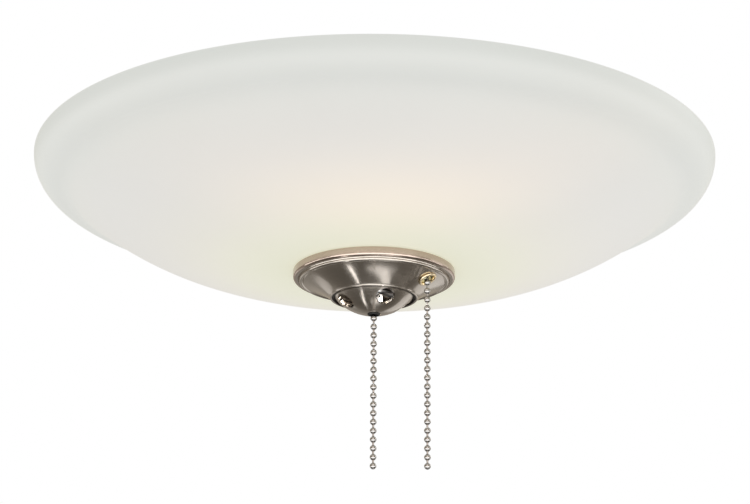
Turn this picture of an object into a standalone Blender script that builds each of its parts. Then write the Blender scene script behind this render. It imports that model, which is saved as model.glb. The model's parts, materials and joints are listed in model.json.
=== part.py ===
"""A ceiling fan's light kit: an opal glass bowl held up by a nickel cap and finial on a hollow lamp pipe.

Metres, +Z up. The origin is the centre of the pan's top face, which meets the fan. The viewer's side is -Y.
"""

import math

import bmesh
import bpy
from mathutils import Vector

# Shared sizes
CLEARANCE = 0.0003
CUT_OVERRUN = 0.002
SHEET = 0.0012
MERGE = 0.00001

# Fitter pan, its holes and its screws
PAN_RADIUS = 0.0525
PAN_DEPTH = 0.021
PAN_SHOULDER = 0.004
FAN_SCREW_COUNT = 3
FAN_SCREW_INSET = 0.0145
FAN_SCREW_HOLE = 0.0024
WIRE_HOLE_CIRCLE = 0.020
WIRE_HOLE_RADIUS = 0.0055
WIRE_HOLE_ANGLE = math.radians(91.6)
PAN_SCREW_COUNT = 3
PAN_SCREW_RADIUS = 0.0017
PAN_SCREW_LENGTH = 0.0055
PAN_SCREW_HEAD_RADIUS = 0.0034
PAN_SCREW_HEAD_HEIGHT = 0.0022

# Plate that closes the pan, and the fibre pad under it
PLATE_INSET = 0.0014
PLATE_FLANGE = 0.0072
PLATE_CORNER = 0.002
SHIELD_INSET = 0.003
SHIELD_THICKNESS = 0.0022

# Hollow lamp pipe with its nuts and washers
PIPE_RADIUS = 0.005
PIPE_BORE = 0.00325
PIPE_ABOVE_PAN = 0.009
NUT_FLATS = 0.0143
NUT_HEIGHT = 0.004
WASHER_RADIUS = 0.0095
WASHER_THICKNESS = 0.001

# Three-armed bracket
BRACKET_HUB_RADIUS = 0.0125
BRACKET_ARM_WIDTH = 0.013
BRACKET_REACH = 0.0228
BRACKET_TAB_END = 0.0081

# Lamp holders and lamps, each along its own axis out of the bracket
LAMP_COUNT = 3
LAMP_DROP = 0.037
SOCKET_RADIUS = 0.0105
SOCKET_LENGTH = 0.030
SOCKET_BACK = 0.004
SOCKET_BORE = 0.0076
SOCKET_STEP = 0.0007
SOCKET_NOSE = 0.009
SOCKET_LEAD_PLACE = 0.0048
SOCKET_LEAD_SEAT = 0.0012
SOCKET_SCREW_RADIUS = 0.0015
SOCKET_SCREW_LENGTH = 0.0046
SOCKET_SCREW_HEAD_RADIUS = 0.0028
SOCKET_SCREW_HEAD_HEIGHT = 0.0018
SHELL_WALL = 0.0005
SHELL_START = 0.0066
SHELL_END = 0.0275
CONTACT_RADIUS = 0.0028
CONTACT_THICKNESS = 0.0008
CONTACT_FOOT_RADIUS = 0.0016
BASE_GAP = 0.0007
BASE_LENGTH = 0.0155
BASE_TIP_RADIUS = 0.0022
BASE_TIP_LENGTH = 0.0022
GLOBE_NECK_STEP = 0.0008
GLOBE_RADIUS = 0.015
GLOBE_LENGTH = 0.050
GLOBE_BELLY_SHARE = 0.6

# Opal glass bowl
RIM_DROP = 0.014
BOWL_RADIUS = 0.168
BOWL_DEPTH = 0.056
BOWL_FULLNESS = 3.25
GLASS_THICKNESS = 0.005
GROOVE_RADIUS = 0.152
LIP_DEPTH = 0.0168
RIM_FLAT = 0.0017
RIM_ROUND = 0.0014
GLASS_OVERLAP = 0.0057

# What the glass is held between
CLAMP_OVERHANG = 0.0014
CLAMP_THICKNESS = 0.0015
CLAMP_EDGE_HEIGHT = 0.003
CLAMP_CHAIN_HOLE = 0.0045
UPPER_GASKET_WIDTH = 0.0056
UPPER_GASKET_THICKNESS = 0.0016
LOWER_GASKET_THICKNESS = 0.0011

# Bottom cap, heights counted down from its top edge
CAP_WALL = 0.0014
CAP_EDGE = 0.0004
CAP_FLANGE_HEIGHT = 0.0044
CAP_FLANGE_WIDTH = 0.004
CAP_ROLL = 0.0014
CAP_SEAT_DEPTH = 0.0016
CAP_RIM_WALL = 0.0013
CAP_BEAD_ROUND = 0.0007
CAP_QUIRK = 0.0006
CAP_COVE_START = 0.0049
CAP_COVE_END = 0.0133
CAP_COVE_RUN = 0.0134
CAP_COVE_SAG = 0.0009
CAP_RING_ROUND = 0.0006
CAP_RECESS_GAP = 0.0011
CAP_WEB_DEPTH = 0.0116
COVE_WEB_SHARE = 0.84

# Finial dome, its hub, washer and grommet
DOME_EDGE_RADIUS = 0.0193
DOME_EDGE_DEPTH = 0.0131
DOME_SPHERE = 0.0255
DOME_WALL = 0.0016
DOME_HOLE_COUNT = 4
DOME_HOLE_RADIUS = 0.00475
DOME_HOLE_MARGIN = 0.00108
DOME_HOLE_FIRST_ANGLE = math.radians(-68.5)
DOME_OUTLET_RADIUS = 0.0032
HUB_FLATS = 0.014
HUB_PIPE_END = 0.001
GROMMET_BORE = 0.0021
GROMMET_FLANGE_RADIUS = 0.0042
GROMMET_FLANGE_HEIGHT = 0.0008
GROMMET_STANDS_OUT = 0.0005

# Brass bell mouth in the cove, where the light's chain comes out
EYELET_BORE = 0.0031
EYELET_WALL = 0.0006
EYELET_LEDGE = 0.0009
EYELET_FLANGE = 0.0011
EYELET_TAIL = 0.0019

# Bead chains
BEAD_RADIUS = 0.0016
BEAD_PITCH = 0.00435
BEAD_ROD_RADIUS = 0.00045
BEAD_SIDE_COUNT = 6
BEAD_RING_COUNT = 4
HIDDEN_BEAD_SIDE_COUNT = 5
FAN_CHAIN_END = 0.1676
LIGHT_CHAIN_END = 0.171
LIGHT_CHAIN_COVE_SHARE = 0.5746
LIGHT_CHAIN_ANGLE = math.radians(-28.3)
LOWER_RUN_BEADS = 10
FAN_UPPER_RUN_BEADS = 7
LIGHT_UPPER_RUN_BEADS = 10
FAN_INNER_BEADS = 9
LIGHT_INNER_BEADS = 17
COUPLING_WALL = 0.0006
COUPLING_LENGTH = 0.009

# Pull switch: across is along the pan's radius, along is round the pan
SWITCH_HALF_WIDTH = 0.0070
SWITCH_WALL = 0.0013
SWITCH_PULLEY_END = 0.0132
SWITCH_CHAIN_END = 0.0078
SWITCH_CORNER = 0.0015
SWITCH_CASE_HEIGHT = 0.0124
SWITCH_LID_HEIGHT = 0.0012
BUSHING_RADIUS = 0.0046
BUSHING_BORE = 0.0024
BUSHING_FLANGE_RADIUS = 0.0052
BUSHING_FLANGE_HEIGHT = 0.0006
BUSHING_END = 0.0042
SWITCH_NUT_RADIUS = 0.0068
SWITCH_NUT_HEIGHT = 0.0022
SWITCH_NUT_SIDES = 12
ROTOR_RADIUS = 0.0046
ROTOR_GROOVE = 0.0008
ROTOR_HALF_WIDTH = 0.0019
ROTOR_RISE = 0.0074
AXLE_RADIUS = 0.0012
SPRING_RADIUS = 0.0023
SPRING_WIRE = 0.0003
SPRING_TURNS = 2
SPRING_PITCH = 0.0009
SWITCH_LEAD_OFFSET = 0.0026
SWITCH_LEAD_RISE = 0.0085

# Wiring in the pan
LEAD_RADIUS = 0.0009
LEAD_HOLE_RADIUS = 0.0021
LEAD_PLATE_RISE = 0.0008
LEAD_STEP_ANGLE = math.radians(24)
LEAD_SPAN_PIECE_COUNT = 2
LEAD_APPROACH = 0.005
LEAD_LOW_RISE = 0.0046
LEAD_HIGH_RISE = 0.0078
LEAD_OUTER_INSET = 0.0095
LEAD_MIDDLE_INSET = 0.0140
LEAD_INNER_INSET = 0.0185
BLOCK_INSET = 0.0165
BLOCK_LENGTH = 0.013
BLOCK_WIDTH = 0.009
BLOCK_HEIGHT = 0.010
BLOCK_CORNER = 0.001
BLOCK_ENTRY_OFFSET = 0.0022

# Radii that follow from the sizes above, from the finial's dome out to the clamp plate
CAP_RECESS_RADIUS = DOME_EDGE_RADIUS + CAP_RECESS_GAP
CAP_RING_RADIUS = CAP_RECESS_RADIUS + CAP_RING_ROUND
COVE_END_RADIUS = CAP_RING_RADIUS + CAP_RING_ROUND
COVE_START_RADIUS = COVE_END_RADIUS + CAP_COVE_RUN
CAP_BEAD_CENTRE = COVE_START_RADIUS + CAP_BEAD_ROUND
CAP_RADIUS = CAP_BEAD_CENTRE + CAP_FLANGE_WIDTH
CAP_SEAT_RADIUS = CAP_RADIUS - CAP_RIM_WALL
GLASS_HOLE_RADIUS = CAP_RADIUS - GLASS_OVERLAP
UPPER_GASKET_RADIUS = GLASS_HOLE_RADIUS + UPPER_GASKET_WIDTH
CLAMP_RADIUS = UPPER_GASKET_RADIUS + CLAMP_OVERHANG
EYELET_BARREL = EYELET_BORE + EYELET_WALL
EYELET_RADIUS = EYELET_BARREL + EYELET_LEDGE
BASE_RADIUS = SOCKET_BORE - CLEARANCE - SHELL_WALL - BASE_GAP
GLOBE_NECK_RADIUS = BASE_RADIUS - GLOBE_NECK_STEP
LEAD_OUTER_CIRCLE = PAN_RADIUS - LEAD_OUTER_INSET
LEAD_MIDDLE_CIRCLE = PAN_RADIUS - LEAD_MIDDLE_INSET
LEAD_INNER_CIRCLE = PAN_RADIUS - LEAD_INNER_INSET
BLOCK_CIRCLE = PAN_RADIUS - BLOCK_INSET

# Places round the pipe that follow
LIGHT_CHAIN_CIRCLE = COVE_END_RADIUS + CAP_COVE_RUN * LIGHT_CHAIN_COVE_SHARE
LIGHT_CHAIN_X = LIGHT_CHAIN_CIRCLE * math.cos(LIGHT_CHAIN_ANGLE)
LIGHT_CHAIN_Y = LIGHT_CHAIN_CIRCLE * math.sin(LIGHT_CHAIN_ANGLE)
LAMP_STEP = 2 * math.pi / LAMP_COUNT
LAMP_ANGLES = [LIGHT_CHAIN_ANGLE + LAMP_STEP * (0.5 + number) for number in range(LAMP_COUNT)]


def clear_scene():
    for obj in list(bpy.data.objects):
        bpy.data.objects.remove(obj, do_unlink=True)


def material(name, colour, roughness, metallic):
    found = bpy.data.materials.new(name)
    found.use_nodes = True
    shader = found.node_tree.nodes["Principled BSDF"]
    shader.inputs["Base Color"].default_value = (*colour, 1)
    shader.inputs["Roughness"].default_value = roughness
    shader.inputs["Metallic"].default_value = metallic
    found.diffuse_color = (*colour, 1)
    return found


def spaced(first, last, count):
    """This many values from first to last, evenly apart."""
    return [first + (last - first) * number / (count - 1) for number in range(count)]


def arc(centre, radii, first, last, count):
    """Points (radius, height) on an ellipse, between two angles in degrees from its +radius side."""
    angles = [math.radians(angle) for angle in spaced(first, last, count)]
    across, up = radii
    return [(centre[0] + across * math.cos(angle), centre[1] + up * math.sin(angle)) for angle in angles]


def finished(name, shape, finish, sharp=35):
    """The object that holds this bmesh, its faces turned outward and its round faces smooth."""
    bmesh.ops.recalc_face_normals(shape, faces=shape.faces[:])
    mesh = bpy.data.meshes.new(name)
    shape.to_mesh(mesh)
    shape.free()
    mesh.shade_smooth()
    mesh.set_sharp_from_angle(angle=math.radians(sharp))
    obj = bpy.data.objects.new(name, mesh)
    bpy.context.scene.collection.objects.link(obj)
    if finish:
        obj.data.materials.append(finish)
    return obj


def turned(name, outline, sides, finish):
    """A solid of revolution about local Z, from a closed outline of (radius, height) points."""
    shape = bmesh.new()
    turns = [2 * math.pi * number / sides for number in range(sides)]
    rings = []
    for radius, height in outline:
        if radius == 0:
            rings.append([shape.verts.new((0, 0, height))])
        else:
            places = [(radius * math.cos(turn), radius * math.sin(turn), height) for turn in turns]
            rings.append([shape.verts.new(place) for place in places])
    for ring, other in zip(rings, rings[1:] + rings[:1]):
        if len(ring) == 1 and len(other) == 1:
            continue
        for number in range(sides):
            following = (number + 1) % sides
            corners = [ring[number % len(ring)], ring[following % len(ring)]]
            corners += [other[following % len(other)], other[number % len(other)]]
            shape.faces.new(list(dict.fromkeys(corners)))
    return finished(name, shape, finish)


def tube_outline(inner, outer, bottom, top):
    return [(inner, top), (outer, top), (outer, bottom), (inner, bottom)]


def disc_outline(radius, bottom, top):
    return [(0, top), (radius, top), (radius, bottom), (0, bottom)]


def prism(name, outline, bottom, top, finish):
    """A flat outline of (x, y) points, extruded from bottom to top."""
    shape = bmesh.new()
    face = shape.faces.new([shape.verts.new((x, y, bottom)) for x, y in outline])
    grown = bmesh.ops.extrude_face_region(shape, geom=[face])["geom"]
    points = [item for item in grown if isinstance(item, bmesh.types.BMVert)]
    bmesh.ops.translate(shape, verts=points, vec=(0, 0, top - bottom))
    return finished(name, shape, finish)


def rounded_rectangle(low_x, high_x, low_y, high_y, corner):
    """The corners of a rectangle, each cut by one chamfer."""
    return [
        (low_x + corner, low_y),
        (high_x - corner, low_y),
        (high_x, low_y + corner),
        (high_x, high_y - corner),
        (high_x - corner, high_y),
        (low_x + corner, high_y),
        (low_x, high_y - corner),
        (low_x, low_y + corner),
    ]


def cutter(name, radius, near, far, sides=20):
    """A hidden cylinder from one point to another, for a Boolean to cut with."""
    start = Vector(near)
    along = Vector(far) - start
    obj = turned(name, disc_outline(radius, 0, along.length), sides, None)
    obj.location = start
    obj.rotation_mode = "QUATERNION"
    obj.rotation_quaternion = along.to_track_quat("Z", "Y")
    return hidden(obj)


def hidden(obj):
    obj.hide_render = True
    obj.display_type = "WIRE"
    return obj


def cut(obj, tool):
    boolean = obj.modifiers.new(tool.name, "BOOLEAN")
    boolean.operation = "DIFFERENCE"
    boolean.solver = "EXACT"
    boolean.object = tool


def hang_on(parent, *pieces):
    for piece in pieces:
        piece.parent = parent


def empty(name, location, rotation=(0, 0, 0)):
    obj = bpy.data.objects.new(name, None)
    obj.location = location
    obj.rotation_euler = rotation
    bpy.context.scene.collection.objects.link(obj)
    return obj


def around(angle, radius, height):
    return Vector((radius * math.cos(angle), radius * math.sin(angle), height))


def hex_outline(flats):
    corner = flats / 2 / math.cos(math.pi / 6)
    return [(corner * math.cos(math.pi * n / 3), corner * math.sin(math.pi * n / 3)) for n in range(6)]


def hex_nut(name, flats, bottom, top, finish):
    """A hexagonal nut or hub on the lamp pipe."""
    obj = prism(name, hex_outline(flats), bottom, top, finish)
    bore = PIPE_RADIUS + CLEARANCE
    tool = cutter(name + "_bore", bore, (0, 0, bottom - CUT_OVERRUN), (0, 0, top + CUT_OVERRUN), 12)
    cut(obj, tool)
    return obj


def pipe_washer(name, top, thickness, finish):
    inner = PIPE_RADIUS + CLEARANCE
    return turned(name, tube_outline(inner, WASHER_RADIUS, top - thickness, top), 12, finish)


# Heights that follow from the sizes above
PLATE_DROP = PAN_DEPTH - PLATE_INSET
LOCKWASHER_TOP = -SHEET - CLEARANCE
LOCKNUT_TOP = LOCKWASHER_TOP - WASHER_THICKNESS - CLEARANCE
PLATE_UNDER = -PLATE_DROP - SHEET
SHIELD_TOP = PLATE_UNDER - CLEARANCE
BRACKET_TOP = SHIELD_TOP - SHIELD_THICKNESS - CLEARANCE
BRACKET_NUT_TOP = BRACKET_TOP - SHEET - CLEARANCE
RIM_HEIGHT = -RIM_DROP
LIP_CENTRE_HEIGHT = RIM_HEIGHT - RIM_FLAT
SWITCH_BOTTOM = -PLATE_DROP + CLEARANCE
SWITCH_TOP = SWITCH_BOTTOM + SWITCH_CASE_HEIGHT
ROTOR_HEIGHT = SWITCH_BOTTOM + ROTOR_RISE


def glass_height(radius):
    """Height of the bowl's outer face inside the groove, at this radius."""
    rise = BOWL_DEPTH - LIP_DEPTH
    return RIM_HEIGHT - BOWL_DEPTH + rise * (radius / GROOVE_RADIUS) ** BOWL_FULLNESS


def glass_inner_point(radius):
    """The point of the bowl's inner face that lies straight through the glass from this outer radius."""
    rise = BOWL_DEPTH - LIP_DEPTH
    slope = rise * BOWL_FULLNESS / GROOVE_RADIUS * (radius / GROOVE_RADIUS) ** (BOWL_FULLNESS - 1)
    through = GLASS_THICKNESS / math.hypot(1, slope)
    return radius - slope * through, glass_height(radius) + through


GASKET_SEAT = glass_inner_point(UPPER_GASKET_RADIUS)[1] + CLEARANCE
CLAMP_UNDER = GASKET_SEAT + UPPER_GASKET_THICKNESS + CLEARANCE
CLAMP_NUT_TOP = CLAMP_UNDER + CLAMP_THICKNESS + CLEARANCE + NUT_HEIGHT
CAP_TOP = glass_height(CAP_RADIUS) - CLEARANCE
WEB_UNDER = CAP_TOP - CAP_WEB_DEPTH
DOME_CENTRE = CAP_TOP - DOME_EDGE_DEPTH + math.sqrt(DOME_SPHERE**2 - DOME_EDGE_RADIUS**2)
DOME_INNER = DOME_SPHERE - DOME_WALL
HUB_CORNER = HUB_FLATS / 2 / math.cos(math.pi / 6)
HUB_TOP = WEB_UNDER - WASHER_THICKNESS - 2 * CLEARANCE
HUB_BOTTOM = DOME_CENTRE - math.sqrt(DOME_INNER**2 - HUB_CORNER**2) + CLEARANCE
PIPE_END = HUB_BOTTOM + HUB_PIPE_END


def make_fitter_pan(finish):
    """Shallow pressed pan, open below, with holes for the pipe and for the fan's screws and wires."""
    corner = PAN_RADIUS - PAN_SHOULDER
    inner_corner = PAN_SHOULDER - SHEET
    outline = [(PIPE_RADIUS + CLEARANCE, 0)]
    outline += arc((corner, -PAN_SHOULDER), (PAN_SHOULDER, PAN_SHOULDER), 90, 0, 4)
    outline += [(PAN_RADIUS, -PAN_DEPTH), (PAN_RADIUS - SHEET, -PAN_DEPTH)]
    outline += arc((corner, -PAN_SHOULDER), (inner_corner, inner_corner), 0, 90, 3)
    outline += [(PIPE_RADIUS + CLEARANCE, -SHEET)]
    pan = turned("fitter_pan", outline, 28, finish)
    for number in range(FAN_SCREW_COUNT):
        angle = WIRE_HOLE_ANGLE + math.radians(180) + 2 * math.pi * number / FAN_SCREW_COUNT
        near = around(angle, PAN_RADIUS - FAN_SCREW_INSET, CUT_OVERRUN)
        far = around(angle, PAN_RADIUS - FAN_SCREW_INSET, -SHEET - CUT_OVERRUN)
        cut(pan, cutter(f"fan_screw_hole_{number + 1}", FAN_SCREW_HOLE, near, far, 8))
    near = around(WIRE_HOLE_ANGLE, WIRE_HOLE_CIRCLE, CUT_OVERRUN)
    far = around(WIRE_HOLE_ANGLE, WIRE_HOLE_CIRCLE, -SHEET - CUT_OVERRUN)
    cut(pan, cutter("wire_hole", WIRE_HOLE_RADIUS, near, far, 12))
    return pan


def make_socket_plate(finish):
    """Plate with a turned-up edge that closes the pan from below."""
    edge = PAN_RADIUS - SHEET - CLEARANCE
    corner = edge - PLATE_CORNER
    inner_corner = PLATE_CORNER - SHEET
    centre_height = PLATE_UNDER + PLATE_CORNER
    flange_top = PLATE_UNDER + PLATE_FLANGE
    hole = PIPE_RADIUS + CLEARANCE
    outline = [(hole, -PLATE_DROP)]
    outline += arc((corner, centre_height), (inner_corner, inner_corner), 270, 360, 2)
    outline += [(edge - SHEET, flange_top), (edge, flange_top)]
    outline += arc((corner, centre_height), (PLATE_CORNER, PLATE_CORNER), 0, -90, 3)
    outline += [(hole, PLATE_UNDER)]
    return turned("socket_plate", outline, 28, finish)


def make_heat_shield(finish):
    """Fibre pad between the hot lamps and the wiring."""
    hole = PIPE_RADIUS + CLEARANCE
    edge = PAN_RADIUS - SHIELD_INSET
    outline = tube_outline(hole, edge, SHIELD_TOP - SHIELD_THICKNESS, SHIELD_TOP)
    return turned("heat_shield", outline, 24, finish)


def pierce_for_leads(obj, top, bottom):
    """The holes in the plate or the pad for the lamp leads and for the switch's bushing."""
    for number, angle in enumerate(LAMP_ANGLES):
        place = lead_foot(angle)
        near = (place.x, place.y, top + CUT_OVERRUN)
        far = (place.x, place.y, bottom - CUT_OVERRUN)
        cut(obj, cutter(f"{obj.name}_lead_hole_{number + 1}", LEAD_HOLE_RADIUS, near, far, 8))


def pierce_for_switch(obj, radius, top, bottom):
    near = (LIGHT_CHAIN_X, LIGHT_CHAIN_Y, top + CUT_OVERRUN)
    far = (LIGHT_CHAIN_X, LIGHT_CHAIN_Y, bottom - CUT_OVERRUN)
    cut(obj, cutter(obj.name + "_switch_hole", radius, near, far, 12))


def make_pan_screws(pan, plate, finish):
    """Three screws through the pan's wall into the plate's turned-up edge."""
    height = PLATE_UNDER + (PLATE_FLANGE + PLATE_CORNER) / 2
    outline = [
        (0, PAN_SCREW_HEAD_HEIGHT),
        (PAN_SCREW_HEAD_RADIUS / 2, PAN_SCREW_HEAD_HEIGHT),
        (PAN_SCREW_HEAD_RADIUS, PAN_SCREW_HEAD_HEIGHT / 2),
        (PAN_SCREW_HEAD_RADIUS, 0),
        (PAN_SCREW_RADIUS, 0),
        (PAN_SCREW_RADIUS, -PAN_SCREW_LENGTH),
        (0, -PAN_SCREW_LENGTH),
    ]
    for number in range(PAN_SCREW_COUNT):
        angle = WIRE_HOLE_ANGLE + math.radians(60) + 2 * math.pi * number / PAN_SCREW_COUNT
        screw = turned(f"pan_screw_{number + 1}", outline, 8, finish)
        screw.location = around(angle, PAN_RADIUS + CLEARANCE, height)
        screw.rotation_euler = (0, math.pi / 2, angle)
        near = around(angle, PAN_RADIUS - PAN_SCREW_LENGTH, height)
        far = around(angle, PAN_RADIUS + CUT_OVERRUN, height)
        for target in (pan, plate):
            radius = PAN_SCREW_RADIUS + CLEARANCE
            cut(target, cutter(f"{target.name}_screw_hole_{number + 1}", radius, near, far, 8))


def make_lamp_pipe(finish):
    outline = tube_outline(PIPE_BORE, PIPE_RADIUS, PIPE_END, PIPE_ABOVE_PAN)
    return turned("lamp_pipe", outline, 12, finish)


def make_socket_bracket(finish):
    """Three-armed bracket: a flat star whose arm ends are bent down into tabs."""
    shape = bmesh.new()
    half = BRACKET_ARM_WIDTH / 2
    start = math.sqrt(BRACKET_HUB_RADIUS**2 - half**2)
    bend = BRACKET_REACH - SHEET
    tab = BRACKET_TOP - SHEET + LAMP_DROP + BRACKET_TAB_END
    outline = []
    tabs = []
    for angle in LAMP_ANGLES:
        out = Vector((math.cos(angle), math.sin(angle), 0))
        side = Vector((-math.sin(angle), math.cos(angle), 0))
        base = Vector((0, 0, BRACKET_TOP))
        right = [shape.verts.new(base + out * reach - side * half) for reach in (start, bend, BRACKET_REACH)]
        left = [shape.verts.new(base + out * reach + side * half) for reach in (start, bend, BRACKET_REACH)]
        outline += [right[0], right[1], left[1], left[0]]
        tabs.append(shape.faces.new([right[1], right[2], left[2], left[1]]))
        spread = math.asin(half / BRACKET_HUB_RADIUS)
        for between in spaced(angle + spread, angle + LAMP_STEP - spread, 4)[1:-1]:
            outline.append(shape.verts.new(around(between, BRACKET_HUB_RADIUS, BRACKET_TOP)))
    star = shape.faces.new(outline)
    grown = bmesh.ops.extrude_face_region(shape, geom=[star] + tabs)["geom"]
    points = [item for item in grown if isinstance(item, bmesh.types.BMVert)]
    bmesh.ops.translate(shape, verts=points, vec=(0, 0, -SHEET))
    ends = [item for item in grown if isinstance(item, bmesh.types.BMFace) and len(item.verts) == 4]
    for end in ends:
        longer = bmesh.ops.extrude_face_region(shape, geom=[end])["geom"]
        points = [item for item in longer if isinstance(item, bmesh.types.BMVert)]
        bmesh.ops.translate(shape, verts=points, vec=(0, 0, -tab))
        bmesh.ops.delete(shape, geom=[end], context="FACES_ONLY")
    bracket = finished("socket_bracket", shape, finish)
    bore = PIPE_RADIUS + CLEARANCE
    near = (0, 0, BRACKET_TOP + CUT_OVERRUN)
    far = (0, 0, BRACKET_TOP - SHEET - CUT_OVERRUN)
    cut(bracket, cutter("socket_bracket_bore", bore, near, far, 12))
    for number, angle in enumerate(LAMP_ANGLES):
        near = around(angle, bend - CUT_OVERRUN, -LAMP_DROP)
        far = around(angle, BRACKET_REACH + CUT_OVERRUN, -LAMP_DROP)
        radius = SOCKET_SCREW_RADIUS + CLEARANCE
        cut(bracket, cutter(f"socket_bracket_hole_{number + 1}", radius, near, far, 8))
    return bracket


def lead_foot(angle):
    """Where a lamp's lead goes into the top of its holder."""
    reach = BRACKET_REACH + CLEARANCE + SOCKET_LEAD_PLACE
    return around(angle, reach, -LAMP_DROP + SOCKET_RADIUS - SOCKET_LEAD_SEAT)


def make_lamp(number, angle, finishes):
    """One lamp holder and its lamp, along local Z, which points out of the bracket."""
    seat = around(angle, BRACKET_REACH + CLEARANCE, -LAMP_DROP)
    axis = empty(f"lamp_axis_{number}", seat, (0, math.pi / 2, angle))

    screw_hole = SOCKET_SCREW_RADIUS + CLEARANCE
    nose = SOCKET_RADIUS - SOCKET_STEP
    outline = [
        (screw_hole, 0),
        (nose, 0),
        (SOCKET_RADIUS, SOCKET_STEP),
        (SOCKET_RADIUS, SOCKET_LENGTH - SOCKET_NOSE),
        (nose, SOCKET_LENGTH - SOCKET_NOSE + SOCKET_STEP),
        (nose, SOCKET_LENGTH),
        (SOCKET_BORE, SOCKET_LENGTH),
        (SOCKET_BORE, SOCKET_BACK),
        (screw_hole, SOCKET_BACK),
    ]
    body = turned(f"socket_{number}", outline, 10, finishes["ceramic"])
    foot = lead_foot(angle)
    top = foot.z + SOCKET_LEAD_SEAT + CUT_OVERRUN
    tool = cutter(f"socket_{number}_lead_hole", LEAD_RADIUS + CLEARANCE, foot - Vector((0, 0, CLEARANCE)),
                  (foot.x, foot.y, top), 8)
    cut(body, tool)

    shell_outer = SOCKET_BORE - CLEARANCE
    outline = tube_outline(shell_outer - SHELL_WALL, shell_outer, SHELL_START, SHELL_END)
    shell = turned(f"socket_shell_{number}", outline, 10, finishes["nickel_plate"])

    contact_bottom = SOCKET_BACK + CLEARANCE
    contact_top = contact_bottom + 2 * CONTACT_THICKNESS
    outline = [
        (0, contact_top),
        (CONTACT_FOOT_RADIUS, contact_top),
        (CONTACT_RADIUS, contact_top - CONTACT_THICKNESS),
        (CONTACT_RADIUS, contact_bottom),
        (CONTACT_FOOT_RADIUS, contact_bottom),
        (0, contact_bottom),
    ]
    contact = turned(f"socket_contact_{number}", outline, 8, finishes["brass"])

    tip = contact_top + CLEARANCE
    cone = tip + BASE_TIP_LENGTH
    rim = cone + BASE_LENGTH
    outline = [
        (0, rim),
        (BASE_RADIUS, rim),
        (BASE_RADIUS, cone + BASE_TIP_LENGTH / 2),
        (BASE_RADIUS - BASE_TIP_LENGTH / 2, cone),
        (BASE_TIP_RADIUS, tip + BASE_TIP_LENGTH / 2),
        (BASE_TIP_RADIUS, tip),
        (0, tip),
    ]
    base = turned(f"lamp_base_{number}", outline, 10, finishes["aluminium"])

    start = rim + CLEARANCE
    end = start + GLOBE_LENGTH
    belly = start + GLOBE_LENGTH * GLOBE_BELLY_SHARE
    outline = [(0, start), (GLOBE_NECK_RADIUS, start)]
    for share in spaced(0, 1, 5)[1:]:
        swell = (1 - math.cos(math.pi * share)) / 2
        outline.append((GLOBE_NECK_RADIUS + (GLOBE_RADIUS - GLOBE_NECK_RADIUS) * swell,
                        start + (belly - start) * share))
    outline += arc((0, belly), (GLOBE_RADIUS, end - belly), 0, 90, 5)[1:-1]
    outline.append((0, end))
    globe = turned(f"lamp_globe_{number}", outline[::-1], 12, finishes["lamp_glass"])

    head = -CLEARANCE - SHEET - CLEARANCE
    outline = [
        (0, head + SOCKET_SCREW_LENGTH),
        (SOCKET_SCREW_RADIUS, head + SOCKET_SCREW_LENGTH),
        (SOCKET_SCREW_RADIUS, head),
        (SOCKET_SCREW_HEAD_RADIUS, head),
        (SOCKET_SCREW_HEAD_RADIUS, head - SOCKET_SCREW_HEAD_HEIGHT),
        (0, head - SOCKET_SCREW_HEAD_HEIGHT),
    ]
    screw = turned(f"socket_screw_{number}", outline, 8, finishes["steel"])
    hang_on(axis, body, shell, contact, base, globe, screw)


def make_glass_bowl(finish):
    """The bowl, rolled out into a lip above a groove, with the hole that the cap closes."""
    outer = [(radius, glass_height(radius)) for radius in spaced(GLASS_HOLE_RADIUS, GROOVE_RADIUS, 8)]
    across = BOWL_RADIUS - GROOVE_RADIUS
    down = LIP_DEPTH - RIM_FLAT
    centre = (GROOVE_RADIUS, LIP_CENTRE_HEIGHT)
    lip = arc(centre, (across, down), -90, 0, 5)[1:]
    inner_edge = BOWL_RADIUS - GLASS_THICKNESS
    rim = [(BOWL_RADIUS - RIM_ROUND, RIM_HEIGHT), (inner_edge + RIM_ROUND, RIM_HEIGHT)]
    inner_lip = arc(centre, (across - GLASS_THICKNESS, down - GLASS_THICKNESS), 0, -90, 3)
    inner = [glass_inner_point(radius) for radius in spaced(GROOVE_RADIUS, GLASS_HOLE_RADIUS, 6)]
    outline = outer + lip + rim + inner_lip + inner
    return turned("glass_bowl", outline[::-1], 48, finish)


def make_clamp_plate(finish):
    """Dished steel disc inside the bowl that the glass is drawn up against."""
    hole = PIPE_RADIUS + CLEARANCE
    top = CLAMP_UNDER + CLAMP_THICKNESS
    outline = [
        (hole, top),
        (CLAMP_RADIUS - CLAMP_THICKNESS, top),
        (CLAMP_RADIUS - CLAMP_THICKNESS, CLAMP_UNDER + CLAMP_EDGE_HEIGHT),
        (CLAMP_RADIUS, CLAMP_UNDER + CLAMP_EDGE_HEIGHT),
        (CLAMP_RADIUS, CLAMP_UNDER + CLAMP_THICKNESS / 2),
        (CLAMP_RADIUS - CLAMP_THICKNESS / 2, CLAMP_UNDER),
        (hole, CLAMP_UNDER),
    ]
    plate = turned("clamp_plate", outline, 24, finish)
    near = (LIGHT_CHAIN_X, LIGHT_CHAIN_Y, CLAMP_UNDER - CUT_OVERRUN)
    far = (LIGHT_CHAIN_X, LIGHT_CHAIN_Y, top + CUT_OVERRUN)
    cut(plate, cutter("clamp_plate_chain_hole", CLAMP_CHAIN_HOLE, near, far, 12))
    return plate


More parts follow.
